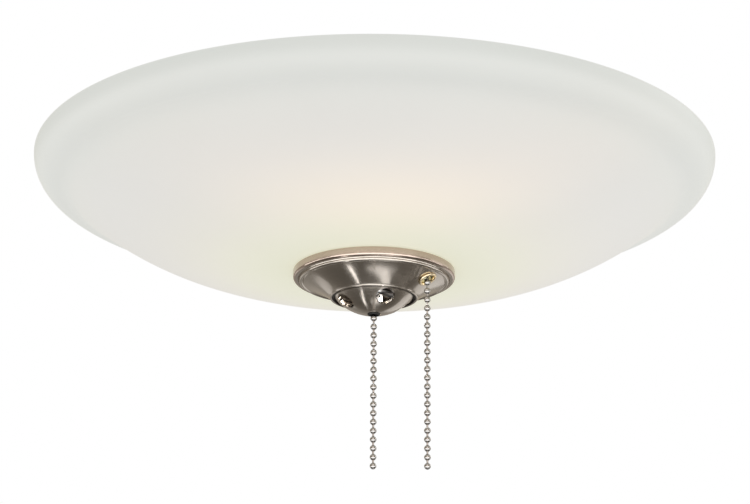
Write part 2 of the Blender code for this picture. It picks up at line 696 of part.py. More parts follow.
def make_gaskets(finish):
    upper = tube_outline(GLASS_HOLE_RADIUS, UPPER_GASKET_RADIUS, GASKET_SEAT,
                         GASKET_SEAT + UPPER_GASKET_THICKNESS)
    turned("upper_gasket", upper, 24, finish)
    inner = GLASS_HOLE_RADIUS + 2 * CLEARANCE
    bottom = CAP_TOP - CAP_SEAT_DEPTH + CLEARANCE
    lower = tube_outline(inner, CAP_SEAT_RADIUS - CLEARANCE, bottom, bottom + LOWER_GASKET_THICKNESS)
    turned("lower_gasket", lower, 24, finish)


def cove_point(share):
    """(radius, height) on the cap's coved outer side, from its bead at 0 to its ring at 1."""
    drop = CAP_COVE_END - CAP_COVE_START
    length = math.hypot(CAP_COVE_RUN, drop)
    sag = CAP_COVE_SAG * 4 * share * (1 - share)
    radius = COVE_START_RADIUS - CAP_COVE_RUN * share - sag * drop / length
    return radius, CAP_TOP - CAP_COVE_START - drop * share + sag * CAP_COVE_RUN / length


def cove_inner_point(share):
    """The point of the cove's inner side behind cove_point(share)."""
    drop = CAP_COVE_END - CAP_COVE_START
    length = math.hypot(CAP_COVE_RUN, drop)
    radius, height = cove_point(share)
    return radius - CAP_WALL * drop / length, height + CAP_WALL * CAP_COVE_RUN / length


def make_bottom_cap(finish):
    """Spun dish: rolled flange, quirk and bead, coved side, ring lip and the finial's recess."""
    flange_bottom = CAP_TOP - CAP_FLANGE_HEIGHT
    roll = arc((CAP_RADIUS - CAP_ROLL, flange_bottom + CAP_ROLL), (CAP_ROLL, CAP_ROLL), 0, -90, 3)
    quirk = CAP_BEAD_CENTRE + CAP_BEAD_ROUND
    bead = arc((CAP_BEAD_CENTRE, flange_bottom), (CAP_BEAD_ROUND, CAP_BEAD_ROUND), 0, -135, 3)
    cove = [cove_point(share) for share in spaced(0, 1, 5)]
    ring_bottom = CAP_TOP - CAP_COVE_END
    ring = arc((CAP_RING_RADIUS, ring_bottom), (CAP_RING_ROUND, CAP_RING_ROUND), 0, -180, 3)[1:]
    web_hole = PIPE_RADIUS + CLEARANCE
    web_top = WEB_UNDER + CAP_WALL
    inner_cove = [cove_inner_point(share) for share in spaced(COVE_WEB_SHARE, 0, 3)]
    shelf = CAP_TOP - CAP_SEAT_DEPTH
    outline = [(CAP_RADIUS - CAP_EDGE, CAP_TOP), (CAP_RADIUS, CAP_TOP - CAP_EDGE)]
    outline += roll
    outline += [(quirk + CAP_QUIRK, flange_bottom), (quirk, flange_bottom + CAP_QUIRK)]
    outline += bead + cove + ring
    outline += [(CAP_RECESS_RADIUS, WEB_UNDER), (web_hole, WEB_UNDER), (web_hole, web_top)]
    outline += inner_cove
    outline += [(inner_cove[-1][0], shelf), (CAP_SEAT_RADIUS, shelf), (CAP_SEAT_RADIUS, CAP_TOP)]
    cap = turned("bottom_cap", outline, 32, finish)
    place, out = eyelet_place()
    reach = EYELET_RADIUS
    radius = EYELET_BARREL + CLEARANCE
    cut(cap, cutter("bottom_cap_eyelet_hole", radius, place - out * reach, place + out * reach, 14))
    return cap


def eyelet_place():
    """The point of the cove that the light's chain goes through, and the way that the cove faces there."""
    low, high = 0.0, 1.0
    while high - low > MERGE:
        middle = (low + high) / 2
        if cove_point(middle)[0] > LIGHT_CHAIN_CIRCLE:
            low = middle
        else:
            high = middle
    radius, height = cove_point(low)
    ahead = cove_point(min(low + MERGE, 1))
    tilt = math.atan2(height - ahead[1], radius - ahead[0])
    out = around(LIGHT_CHAIN_ANGLE, math.sin(tilt), -math.cos(tilt))
    return around(LIGHT_CHAIN_ANGLE, radius, height), out


def make_chain_eyelet(finish):
    """Brass bell mouth, set square to the cove."""
    outline = [
        (EYELET_BORE, -EYELET_TAIL),
        (EYELET_BARREL, -EYELET_TAIL),
        (EYELET_BARREL, CLEARANCE),
        (EYELET_RADIUS, CLEARANCE),
        (EYELET_RADIUS, EYELET_FLANGE / 2),
        ((EYELET_RADIUS + EYELET_BARREL) / 2, EYELET_FLANGE),
        (EYELET_BARREL, EYELET_FLANGE),
        (EYELET_BORE, EYELET_FLANGE / 2),
    ]
    eyelet = turned("chain_eyelet", outline[::-1], 14, finish)
    place, out = eyelet_place()
    eyelet.location = place
    eyelet.rotation_mode = "QUATERNION"
    eyelet.rotation_quaternion = out.to_track_quat("Z", "Y")
    return eyelet


def make_finial(finishes):
    """Dome with four round holes, and the hub, washer and grommet that it holds."""
    edge_height = CAP_TOP - DOME_EDGE_DEPTH
    first = math.degrees(math.asin((edge_height - DOME_CENTRE) / DOME_SPHERE))
    last = -90 + math.degrees(math.asin(DOME_OUTLET_RADIUS / DOME_SPHERE))
    outer = arc((0, DOME_CENTRE), (DOME_SPHERE, DOME_SPHERE), first, last, 6)
    inner_edge = DOME_EDGE_RADIUS - DOME_WALL
    inner_first = -math.degrees(math.acos(inner_edge / DOME_INNER))
    inner_last = -90 + math.degrees(math.asin(DOME_OUTLET_RADIUS / DOME_INNER))
    inner = arc((0, DOME_CENTRE), (DOME_INNER, DOME_INNER), inner_last, inner_first, 4)
    top = WEB_UNDER - CLEARANCE
    outline = [(inner_edge, top), (DOME_EDGE_RADIUS, top)] + outer + inner
    dome = turned("finial", outline, 28, finishes["nickel"])
    tilt = math.asin(DOME_EDGE_RADIUS / DOME_SPHERE) - math.asin(DOME_HOLE_RADIUS / DOME_SPHERE)
    tilt -= DOME_HOLE_MARGIN / DOME_SPHERE
    for number in range(DOME_HOLE_COUNT):
        angle = DOME_HOLE_FIRST_ANGLE + 2 * math.pi * number / DOME_HOLE_COUNT
        out = around(angle, math.sin(tilt), -math.cos(tilt))
        middle = Vector((0, 0, DOME_CENTRE))
        near = middle + out * (DOME_INNER - CUT_OVERRUN)
        far = middle + out * (DOME_SPHERE + CUT_OVERRUN)
        cut(dome, cutter(f"finial_hole_{number + 1}", DOME_HOLE_RADIUS, near, far, 16))

    hex_nut("finial_hub", HUB_FLATS, HUB_BOTTOM, HUB_TOP, finishes["nickel_plate"])
    pipe_washer("cap_washer", WEB_UNDER - CLEARANCE, WASHER_THICKNESS, finishes["steel"])

    seat = DOME_CENTRE - math.sqrt(DOME_INNER**2 - GROMMET_FLANGE_RADIUS**2) + CLEARANCE
    body = DOME_OUTLET_RADIUS - CLEARANCE
    bottom = DOME_CENTRE - DOME_SPHERE - GROMMET_STANDS_OUT
    outline = [
        (GROMMET_BORE, seat + GROMMET_FLANGE_HEIGHT),
        (GROMMET_FLANGE_RADIUS, seat + GROMMET_FLANGE_HEIGHT),
        (GROMMET_FLANGE_RADIUS, seat),
        (body, seat),
        (body, bottom + GROMMET_STANDS_OUT / 2),
        (body - GROMMET_STANDS_OUT / 2, bottom),
        (GROMMET_BORE, bottom),
    ]
    turned("outlet_grommet", outline, 12, finishes["rubber"])


def bead_chain(name, place, top_height, beads, stub, finish, sides=BEAD_SIDE_COUNT):
    """A run of beads on rods, its origin at its top bead's centre. If asked, a stub rod ends it below."""
    neck = math.degrees(math.asin(BEAD_ROD_RADIUS / BEAD_RADIUS))
    outline = [(0, BEAD_RADIUS)]
    for number in range(beads):
        middle = (0, -BEAD_PITCH * number)
        ball = arc(middle, (BEAD_RADIUS, BEAD_RADIUS), 90 - neck, neck - 90, BEAD_RING_COUNT)
        outline += ball[1:] if number == 0 else ball
    if stub:
        rod_end = -BEAD_PITCH * beads + BEAD_RADIUS + CLEARANCE
        outline += [(BEAD_ROD_RADIUS, rod_end), (0, rod_end)]
    else:
        outline[-1] = (0, -BEAD_PITCH * (beads - 1) - BEAD_RADIUS)
    obj = turned(name, outline, sides, finish)
    obj.location = (place[0], place[1], top_height)
    return obj


def make_chain(name, place, lowest, counts, finish):
    """One pull chain in three runs, counted from the top: held inside, and two below the outlet."""
    inner, upper, lower = counts
    lower_top = lowest + BEAD_PITCH * (lower - 1)
    upper_top = lower_top + BEAD_PITCH * upper
    inner_top = upper_top + BEAD_PITCH * inner
    pieces = [
        bead_chain(name + "_inner", place, inner_top, inner, True, finish, HIDDEN_BEAD_SIDE_COUNT),
        bead_chain(name + "_upper", place, upper_top, upper, True, finish),
        bead_chain(name + "_lower", place, lower_top, lower, False, finish),
    ]
    return pieces, inner_top


def make_chains(finishes):
    fan_counts = (FAN_INNER_BEADS, FAN_UPPER_RUN_BEADS, LOWER_RUN_BEADS)
    fan_top = make_chain("fan_chain", (0, 0), -FAN_CHAIN_END, fan_counts, finishes["chain"])[1]
    light_counts = (LIGHT_INNER_BEADS, LIGHT_UPPER_RUN_BEADS, LOWER_RUN_BEADS)
    place = (LIGHT_CHAIN_X, LIGHT_CHAIN_Y)
    make_chain("light_chain", place, -LIGHT_CHAIN_END, light_counts, finishes["chain"])
    inner = BEAD_RADIUS + CLEARANCE
    bottom = fan_top - BEAD_PITCH - BEAD_RADIUS
    outline = tube_outline(inner, inner + COUPLING_WALL, bottom, bottom + COUPLING_LENGTH)
    turned("fan_chain_coupling", outline, 12, finishes["brass"])


def make_switch(finishes):
    """Pull switch above the plate, across its local X and along its local Y. The chain is at its origin."""
    seat = empty("switch_seat", (LIGHT_CHAIN_X, LIGHT_CHAIN_Y, 0), (0, 0, LIGHT_CHAIN_ANGLE))
    low, high = -SWITCH_PULLEY_END, SWITCH_CHAIN_END
    half = SWITCH_HALF_WIDTH
    outside = rounded_rectangle(-half, half, low, high, SWITCH_CORNER)
    case = prism("switch_case", outside, SWITCH_BOTTOM, SWITCH_TOP, finishes["phenolic"])
    wall = SWITCH_WALL
    inside = rounded_rectangle(wall - half, half - wall, low + wall, high - wall, SWITCH_CORNER - wall / 2)
    floor = SWITCH_BOTTOM + wall
    hollow = hidden(prism("switch_case_hollow", inside, floor, SWITCH_TOP + CUT_OVERRUN, None))
    bushing_hole = BUSHING_RADIUS + CLEARANCE
    hole = cutter("switch_case_bushing_hole", bushing_hole, (0, 0, SWITCH_BOTTOM - CUT_OVERRUN),
                  (0, 0, floor + CUT_OVERRUN / 2), 12)
    pulley = -(ROTOR_RADIUS + BEAD_RADIUS + CLEARANCE)
    reach = half + CUT_OVERRUN
    bearing = cutter("switch_case_bearing", AXLE_RADIUS + CLEARANCE, (-reach, pulley, ROTOR_HEIGHT),
                     (reach, pulley, ROTOR_HEIGHT), 8)
    tools = [hollow, hole, bearing]
    lead_height = SWITCH_BOTTOM + SWITCH_LEAD_RISE
    for number, offset in enumerate((-SWITCH_LEAD_OFFSET, SWITCH_LEAD_OFFSET), 1):
        tools.append(cutter(f"switch_case_lead_hole_{number}", LEAD_RADIUS + CLEARANCE,
                            (offset, high - wall - CUT_OVERRUN / 2, lead_height),
                            (offset, high + CUT_OVERRUN, lead_height), 8))
    for tool in tools:
        cut(case, tool)

    lid_bottom = SWITCH_TOP + CLEARANCE
    lid = prism("switch_lid", outside, lid_bottom, lid_bottom + SWITCH_LID_HEIGHT, finishes["fibre"])

    flange_bottom = floor + CLEARANCE
    bushing_outline = [
        (BUSHING_BORE, flange_bottom + BUSHING_FLANGE_HEIGHT),
        (BUSHING_FLANGE_RADIUS, flange_bottom + BUSHING_FLANGE_HEIGHT),
        (BUSHING_FLANGE_RADIUS, flange_bottom),
        (BUSHING_RADIUS, flange_bottom),
        (BUSHING_RADIUS, PLATE_UNDER - BUSHING_END),
        (BUSHING_BORE, PLATE_UNDER - BUSHING_END),
    ]
    bushing = turned("switch_bushing", bushing_outline, 12, finishes["nickel_plate"])
    nut_top = PLATE_UNDER - CLEARANCE
    nut_bottom = nut_top - SWITCH_NUT_HEIGHT
    nut_outline = tube_outline(BUSHING_RADIUS + CLEARANCE, SWITCH_NUT_RADIUS, nut_bottom, nut_top)
    nut = turned("switch_nut", nut_outline, SWITCH_NUT_SIDES, finishes["nickel_plate"])

    axle_end = half - CLEARANCE
    width = ROTOR_HALF_WIDTH
    rotor_outline = [
        (0, axle_end),
        (AXLE_RADIUS, axle_end),
        (AXLE_RADIUS, width),
        (ROTOR_RADIUS, width),
        (ROTOR_RADIUS - ROTOR_GROOVE, 0),
        (ROTOR_RADIUS, -width),
        (AXLE_RADIUS, -width),
        (AXLE_RADIUS, -axle_end),
        (0, -axle_end),
    ]
    rotor = turned("switch_rotor", rotor_outline, 12, finishes["phenolic"])
    rotor.location = (0, pulley, ROTOR_HEIGHT)
    rotor.rotation_euler = (0, math.pi / 2, 0)

    spring = coil_spring("switch_spring", finishes["steel"])
    spring.location = (ROTOR_HALF_WIDTH + SPRING_WIRE + CLEARANCE, pulley, ROTOR_HEIGHT)
    spring.rotation_euler = (0, math.pi / 2, 0)

    hang_on(seat, case, *tools, lid, bushing, nut, rotor, spring)


def coil_spring(name, finish):
    """The return spring round the rotor's axle, wound along local Z."""
    turn_points = 8
    curve = bpy.data.curves.new(name, "CURVE")
    curve.dimensions = "3D"
    curve.bevel_depth = SPRING_WIRE
    curve.bevel_resolution = 1
    curve.use_fill_caps = True
    spline = curve.splines.new("POLY")
    count = SPRING_TURNS * turn_points + 1
    spline.points.add(count - 1)
    for number in range(count):
        turns = number / turn_points
        place = around(2 * math.pi * turns, SPRING_RADIUS, SPRING_PITCH * turns)
        spline.points[number].co = (*place, 1)
    obj = bpy.data.objects.new(name, curve)
    curve.materials.append(finish)
    bpy.context.scene.collection.objects.link(obj)
    return obj


def smooth_route(points, pieces):
    """Points along a smooth curve through these points, with this many pieces to a span."""
    ends = [points[0] * 2 - points[1]] + points + [points[-1] * 2 - points[-2]]
    route = [points[0]]
    for before, start, end, after in zip(ends, ends[1:], ends[2:], ends[3:]):
        for number in range(1, pieces + 1):
            t = number / pieces
            bend = (2 * before - 5 * start + 4 * end - after) * t * t
            twist = (3 * start - before - 3 * end + after) * t * t * t
            route.append((2 * start + (end - before) * t + bend + twist) / 2)
    return route


def lead(name, points, finish):
    """An insulated wire along a smooth curve through these points."""
    route = smooth_route(points, LEAD_SPAN_PIECE_COUNT)
    curve = bpy.data.curves.new(name, "CURVE")
    curve.dimensions = "3D"
    curve.bevel_depth = LEAD_RADIUS
    curve.bevel_resolution = 1
    curve.use_fill_caps = True
    spline = curve.splines.new("POLY")
    spline.points.add(len(route) - 1)
    for point, place in zip(spline.points, route):
        point.co = (*place, 1)
    obj = bpy.data.objects.new(name, curve)
    curve.materials.append(finish)
    bpy.context.scene.collection.objects.link(obj)
    return obj


def block_entry(side, offset, height):
    """Two points that lead straight into the terminal block's end: side is +1 or -1 along the pan's rim."""
    out = around(WIRE_HOLE_ANGLE, 1, 0)
    along = Vector((-out.y, out.x, 0)) * side
    middle = out * (BLOCK_CIRCLE + offset) + Vector((0, 0, height))
    face = BLOCK_LENGTH / 2 + CLEARANCE
    return [middle + along * (face + LEAD_APPROACH), middle + along * face]


def route_to_block(start_points, circle, side, offset, rise):
    """The route from these first points, round the pan this high above its plate, to the terminal block."""
    height = rise - PLATE_DROP
    entry = block_entry(side, offset, height)
    first = start_points[-1]
    start_angle = math.atan2(first.y, first.x)
    end_angle = math.atan2(entry[0].y, entry[0].x)
    sweep = (end_angle - start_angle) % (2 * math.pi)
    if side > 0:
        sweep -= 2 * math.pi
    count = round(abs(sweep) / LEAD_STEP_ANGLE)
    ring = [around(start_angle + sweep * step / count, circle, height) for step in range(1, count)]
    return start_points + ring + entry


def make_wiring(finishes):
    """Terminal block on the plate, and the leads to it from the lamp holders and the switch."""
    half_length, half_width = BLOCK_LENGTH / 2, BLOCK_WIDTH / 2
    seat = empty("block_seat", around(WIRE_HOLE_ANGLE, BLOCK_CIRCLE, 0), (0, 0, WIRE_HOLE_ANGLE))
    outline = rounded_rectangle(-half_width, half_width, -half_length, half_length, BLOCK_CORNER)
    bottom = -PLATE_DROP + CLEARANCE
    block = prism("terminal_block", outline, bottom, bottom + BLOCK_HEIGHT, finishes["ceramic"])
    hang_on(seat, block)

    runs = [
        (LEAD_INNER_CIRCLE, -1, -BLOCK_ENTRY_OFFSET),
        (LEAD_INNER_CIRCLE, 1, -BLOCK_ENTRY_OFFSET),
        (LEAD_OUTER_CIRCLE, 1, BLOCK_ENTRY_OFFSET),
    ]
    for number, (angle, run) in enumerate(zip(LAMP_ANGLES, runs), 1):
        foot = lead_foot(angle)
        heights = spaced(foot.z, LEAD_PLATE_RISE - PLATE_DROP, 3)
        rise = [Vector((foot.x, foot.y, height)) for height in heights]
        lead(f"socket_lead_{number}", route_to_block(rise, *run, LEAD_LOW_RISE), finishes["white_lead"])

    out = around(LIGHT_CHAIN_ANGLE, 1, 0)
    along = Vector((-out.y, out.x, 0))
    height = SWITCH_BOTTOM + SWITCH_LEAD_RISE
    runs = [(LEAD_MIDDLE_CIRCLE, LEAD_HIGH_RISE), (LEAD_OUTER_CIRCLE, LEAD_LOW_RISE)]
    for number, (circle, rise) in enumerate(runs, 1):
        offset = SWITCH_LEAD_OFFSET * (2 * number - 3)
        middle = out * (LIGHT_CHAIN_CIRCLE + offset) + Vector((0, 0, height))
        seated = middle + along * (SWITCH_CHAIN_END - SWITCH_WALL / 2)
        start = [seated, seated + along * LEAD_APPROACH]
        route = route_to_block(start, circle, -1, BLOCK_ENTRY_OFFSET, rise)
        lead(f"switch_lead_{number}", route, finishes["black_lead"])


def build():
    clear_scene()
    finishes = {
        "nickel": material("brushed nickel", (0.42, 0.39, 0.35), 0.3, 1),
        "nickel_plate": material("bright nickel plate", (0.72, 0.7, 0.66), 0.2, 1),
        "steel": material("zinc plated steel", (0.6, 0.61, 0.62), 0.35, 1),
        "pan": material("pan enamel", (0.86, 0.86, 0.84), 0.4, 0),
        "aluminium": material("aluminium", (0.8, 0.8, 0.8), 0.3, 1),
        "brass": material("brass", (0.8, 0.62, 0.3), 0.25, 1),
        "opal": material("satin opal glass", (0.87, 0.86, 0.82), 0.45, 0),
        "lamp_glass": material("frosted lamp glass", (0.95, 0.93, 0.88), 0.3, 0),
        "ceramic": material("white ceramic", (0.88, 0.87, 0.83), 0.25, 0),
        "fibre": material("pressed fibre", (0.55, 0.5, 0.42), 0.9, 0),
        "gasket": material("gasket rubber", (0.1, 0.1, 0.1), 0.8, 0),
        "rubber": material("black grommet", (0.02, 0.02, 0.02), 0.6, 0),
        "phenolic": material("dark phenolic", (0.06, 0.05, 0.05), 0.5, 0),
        "chain": material("bright chain", (0.75, 0.74, 0.72), 0.15, 1),
        "white_lead": material("white lead", (0.85, 0.85, 0.82), 0.5, 0),
        "black_lead": material("black lead", (0.03, 0.03, 0.03), 0.5, 0),
    }
    pan = make_fitter_pan(finishes["pan"])
    plate = make_socket_plate(finishes["pan"])
    shield = make_heat_shield(finishes["fibre"])
    make_pan_screws(pan, plate, finishes["steel"])
    pierce_for_leads(plate, -PLATE_DROP, PLATE_UNDER)
    pierce_for_leads(shield, SHIELD_TOP, SHIELD_TOP - SHIELD_THICKNESS)
    pierce_for_switch(plate, BUSHING_RADIUS + CLEARANCE, -PLATE_DROP, PLATE_UNDER)
    pierce_for_switch(shield, SWITCH_NUT_RADIUS + CLEARANCE, SHIELD_TOP, SHIELD_TOP - SHIELD_THICKNESS)

    make_lamp_pipe(finishes["steel"])
    pipe_washer("pan_lockwasher", LOCKWASHER_TOP, WASHER_THICKNESS, finishes["steel"])
    hex_nut("pan_locknut", NUT_FLATS, LOCKNUT_TOP - NUT_HEIGHT, LOCKNUT_TOP, finishes["steel"])
    hex_nut("bracket_nut", NUT_FLATS, BRACKET_NUT_TOP - NUT_HEIGHT, BRACKET_NUT_TOP, finishes["steel"])
    hex_nut("clamp_nut", NUT_FLATS, CLAMP_NUT_TOP - NUT_HEIGHT, CLAMP_NUT_TOP, finishes["steel"])

    make_socket_bracket(finishes["steel"])
    for number, angle in enumerate(LAMP_ANGLES, 1):
        make_lamp(number, angle, finishes)

    make_glass_bowl(finishes["opal"])
    make_clamp_plate(finishes["steel"])
    make_gaskets(finishes["gasket"])
    make_bottom_cap(finishes["nickel"])
    make_chain_eyelet(finishes["brass"])
    make_finial(finishes)
    make_chains(finishes)
    make_switch(finishes)
    make_wiring(finishes)


build()
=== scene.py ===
"""The looks of the ceiling fan light kit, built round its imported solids. Metres, +Z up, the viewer at -Y."""

import json
import math

import bmesh
import bpy
from mathutils import Matrix, Quaternion, Vector


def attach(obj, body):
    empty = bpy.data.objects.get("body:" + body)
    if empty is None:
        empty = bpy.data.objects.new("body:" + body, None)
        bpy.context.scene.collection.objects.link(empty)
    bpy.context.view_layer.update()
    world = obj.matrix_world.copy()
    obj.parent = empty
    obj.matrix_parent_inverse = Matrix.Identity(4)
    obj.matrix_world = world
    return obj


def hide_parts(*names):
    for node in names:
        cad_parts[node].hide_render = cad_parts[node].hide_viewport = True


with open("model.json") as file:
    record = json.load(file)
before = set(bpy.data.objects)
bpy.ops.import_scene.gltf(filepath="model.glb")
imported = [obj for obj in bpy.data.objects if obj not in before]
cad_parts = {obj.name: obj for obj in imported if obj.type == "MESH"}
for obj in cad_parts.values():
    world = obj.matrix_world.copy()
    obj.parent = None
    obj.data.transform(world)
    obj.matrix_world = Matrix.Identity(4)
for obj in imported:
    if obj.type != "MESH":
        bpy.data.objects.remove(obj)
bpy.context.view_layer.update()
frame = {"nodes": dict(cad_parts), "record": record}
scene = bpy.context.scene

CLEARANCE = 0.0003
OVERRUN = 0.001
SHEET = 0.0012
SHARP_ANGLE = math.radians(32)
FILLET_STEPS = 4

# Bowl
RIM_HEIGHT = -0.014
BOWL_RADIUS = 0.168
BOWL_DEPTH = 0.056
BOWL_FULLNESS = 3.25
GLASS_THICKNESS = 0.005
GROOVE_RADIUS = 0.152
LIP_DEPTH = 0.0168
RIM_FLAT = 0.0017
RIM_ROUND = 0.0014
GLASS_HOLE_RADIUS = 0.034
GROOVE_BLEND = 0.0045
GROOVE_INNER_BLEND = 0.002
CREASE_RISE = 0.0002

# Cap and finial
CAP_RADIUS = 0.0397
CAP_WALL = 0.0014
CAP_EDGE = 0.0004
CAP_ROLL = 0.0014
CAP_SEAT_DEPTH = 0.0016
CAP_RIM_WALL = 0.0013
CAP_FLANGE_HEIGHT = 0.0044
CAP_BEAD_CENTRE = 0.0357
CAP_BEAD_ROUND = 0.001
CAP_BEAD_DROP = 0.0005
CAP_QUIRK_WIDTH = 0.0007
CAP_QUIRK_FOOT = 0.0002
CAP_QUIRK_DEPTH = 0.0006
CAP_COVE_START = 0.0057
CAP_COVE_END = 0.0133
CAP_COVE_SAG = 0.0009
CAP_RING_RADIUS = 0.0210
CAP_RING_ROUND = 0.0006
CAP_RECESS_RADIUS = 0.0204
CAP_WEB_DEPTH = 0.0116
COVE_WEB_SHARE = 0.84
DOME_EDGE_RADIUS = 0.0193
DOME_EDGE_DEPTH = 0.0131
DOME_SPHERE = 0.0255
DOME_WALL = 0.0016
DOME_HOLE_RADIUS = 0.00475
DOME_HOLE_CIRCLE = 0.015
DOME_HOLE_FIRST_ANGLE = math.radians(-68.5)
DOME_OUTLET_RADIUS = 0.0032
DOME_DRILL_OVERRUN = 0.002
HUB_FLATS = 0.014
GROMMET_BORE = 0.0021
GROMMET_BARREL = 0.0029
GROMMET_FLANGE_RADIUS = 0.0042
GROMMET_FLANGE_HEIGHT = 0.0008
GROMMET_STANDS_OUT = 0.0005

# Eyelet in the cove
EYELET_BORE = 0.0031
EYELET_BARREL = 0.0037
EYELET_RADIUS = 0.0046
EYELET_TAIL = 0.0019
EYELET_EDGE = 0.0008
EYELET_BELL = [(0.0040, 0.0011, 0.0003), (0.0034, 0.0009, 0.0004)]
EYELET_MOUTH = 0.0001
EYELET_HOLE_RADIUS = 0.004
EYELET_HOLE_REACH = 0.0046

# Lamp pipe, and what is on it
PIPE_HOLE = 0.0053
PIPE_RADIUS = 0.005
PIPE_BORE = 0.00325
PIPE_END_RADIUS = 0.0045
PIPE_TOP = 0.009
PIPE_PITCH = 0.00094
PIPE_THREAD_DEPTH = 0.0004
PIPE_CHAMFER = 0.0004
PIPE_END_RISE = 0.001
NUT_FLATS = 0.0143
NUT_HEIGHT = 0.004
NUT_FACE_SHARE = 0.97
NUT_TURNED_SHARE = 0.5
WASHER_RADIUS = 0.0095
WASHER_THICKNESS = 0.001
UPPER_GASKET_RADIUS = 0.0396
UPPER_GASKET_THICKNESS = 0.0016
LOWER_GASKET_INNER = 0.0346
LOWER_GASKET_RADIUS = 0.0381
LOWER_GASKET_SEAT_DEPTH = 0.0013
LOWER_GASKET_TOP_DEPTH = 0.0002

# Pan, plate, pad and clamp plate
PAN_RADIUS = 0.0525
PAN_DEPTH = 0.021
PAN_SHOULDER = 0.004
PLATE_RADIUS = 0.051
PLATE_UNDER = -0.0208
PLATE_FLANGE = 0.0072
PLATE_CORNER = 0.002
PAD_RADIUS = 0.0495
PAD_THICKNESS = 0.0022
PRESSED_EDGE = 0.0003
WIRE_HOLE_ANGLE = math.radians(91.6)
WIRE_HOLE_CIRCLE = 0.020
WIRE_HOLE_RADIUS = 0.0055
FAN_HOLE_CIRCLE = 0.038
FAN_HOLE_RADIUS = 0.0024
LEAD_HOLE_CIRCLE = 0.0279
LEAD_HOLE_RADIUS = 0.0021
SIDE_HOLE_RADIUS = 0.002
SIDE_SCREW_HEIGHT = PLATE_UNDER + 0.0046
SIDE_HOLE_START = 0.046
SIDE_HOLE_END = 0.056
BRACKET_NUT_TOP = -0.0251
LEAD_WAY_TOP = -0.025
LEAD_WAY_FOOT = -0.0277
CLAMP_RADIUS = 0.041
CLAMP_THICKNESS = 0.0015
CLAMP_EDGE_HEIGHT = 0.003
CLAMP_CHAIN_HOLE = 0.0045
MACHINE_PITCH = 0.0007
MACHINE_THREAD_DEPTH = 0.0003
SLOT_WIDTH = 0.0007
SLOT_BOX = 0.004
SCREW_TIP = 0.0001

# Heights between which holes are cut through the pan, the plate and the pad
PAN_CUT = (-0.003, 0.002)
PLATE_CUT = (-0.023, -0.018)
PAD_CUT = (-0.025, -0.019)

# Screws: radius, length, and the head's radius and height
PAN_SCREW = (0.0017, 0.0053, 0.0034, 0.0022)
SOCKET_SCREW = (0.0015, 0.0046, 0.0028, 0.0018)
SOCKET_SCREW_BACK = 0.0018

# Lamp holders and lamps: the seats' height and distance from the middle, then the sizes of one. Its
# steps, backs, starts and ends are measured outward from its seat, along the lamp's axis.
LAMP_HEIGHT = -0.037
LAMP_SEAT = 0.0231
LAMP_PITCH = 0.00254
SOCKET_RADIUS = 0.0105
SOCKET_STEP = 0.021
SOCKET_NOSE_RADIUS = 0.0098
SOCKET_LENGTH = 0.030
SOCKET_BORE = 0.0076
SOCKET_BACK = 0.004
SOCKET_SCREW_HOLE = 0.0018
LEAD_WAY_RADIUS = 0.0012
SHELL_RADIUS = 0.0073
SHELL_WALL = 0.0005
SHELL_START = 0.0066
SHELL_END = 0.0275
SHELL_THREAD_DEPTH = 0.0004
CONTACT_RADIUS = 0.0028
CONTACT_BACK = 0.0043
CONTACT_SHOULDER = 0.0051
CONTACT_FACE = 0.0059
CONTACT_FACE_RADIUS = 0.0018
BASE_RADIUS = 0.0061
BASE_END = 0.0239
BASE_THREAD_DEPTH = 0.0005
BASE_THREAD_START = 0.0098
BASE_THREAD_END = 0.0228
BASE_FOOT = [(0.0059, 0.0094), (0.005, 0.0084)]
BASE_TIP_START = 0.0073
BASE_TIP_SIZE = (0.0022, 0.0011)
GLOBE_START = 0.0242
GLOBE_NECK_RADIUS = 0.0053
GLOBE_RADIUS = 0.015
GLOBE_SWELL = 0.030
GLOBE_TIP = 0.020

# Pull switch
BUSHING_RADIUS = 0.0046
BUSHING_BORE = 0.0024
BUSHING_FLANGE_RADIUS = 0.0052
BUSHING_TOP = -0.0171
BUSHING_FLANGE_UNDER = -0.0177
BUSHING_THREAD = (-0.0247, -0.0179)
BUSHING_LIP = [(0.0043, -0.025), (0.0031, -0.025), (0.0026, -0.0246)]
BUSHING_BORE_END = -0.0238
SWITCH_NUT_HOLE = 0.0049
SWITCH_NUT_RADIUS = 0.0068
SWITCH_NUT_TOP = -0.0211
SWITCH_NUT_UNDER = -0.0233
KNURL_DEPTH = 0.00025
KNURL_START = 0.0064
ROTOR_RADIUS = 0.0046
ROTOR_HALF_WIDTH = 0.0019
ROTOR_GROOVE = (0.0008, 0.0016)
ROTOR_HEIGHT = -0.0119
ROTOR_OFFSET = 0.0065
AXLE_RADIUS = 0.0012
AXLE_HALF_LENGTH = 0.0067

# Chains
BEAD_RADIUS = 0.0016
BEAD_PITCH = 0.00435
BEAD_ROD_RADIUS = 0.00045
BEAD_FLAT = 0.985
BEAD_MOUTH = [(0.0006, 0.00152), (BEAD_ROD_RADIUS, 0.0014)]
FAN_CHAIN_END = -0.1676
LIGHT_CHAIN_END = -0.171
COUPLING_BEADS = 24
COUPLING_WALL = 0.0006
COUPLING_LENGTH = 0.009
LIGHT_CHAIN_CIRCLE = 0.0293
LIGHT_CHAIN_ANGLE = math.radians(-28.3)
LIGHT_CHAIN_PLACE = (
    LIGHT_CHAIN_CIRCLE * math.cos(LIGHT_CHAIN_ANGLE),
    LIGHT_CHAIN_CIRCLE * math.sin(LIGHT_CHAIN_ANGLE),
)
LAMP_ANGLES = [LIGHT_CHAIN_ANGLE + math.radians(120) * (0.5 + number) for number in range(3)]
SIDE_SCREW_ANGLES = [WIRE_HOLE_ANGLE + math.radians(60 + 120 * number) for number in range(3)]

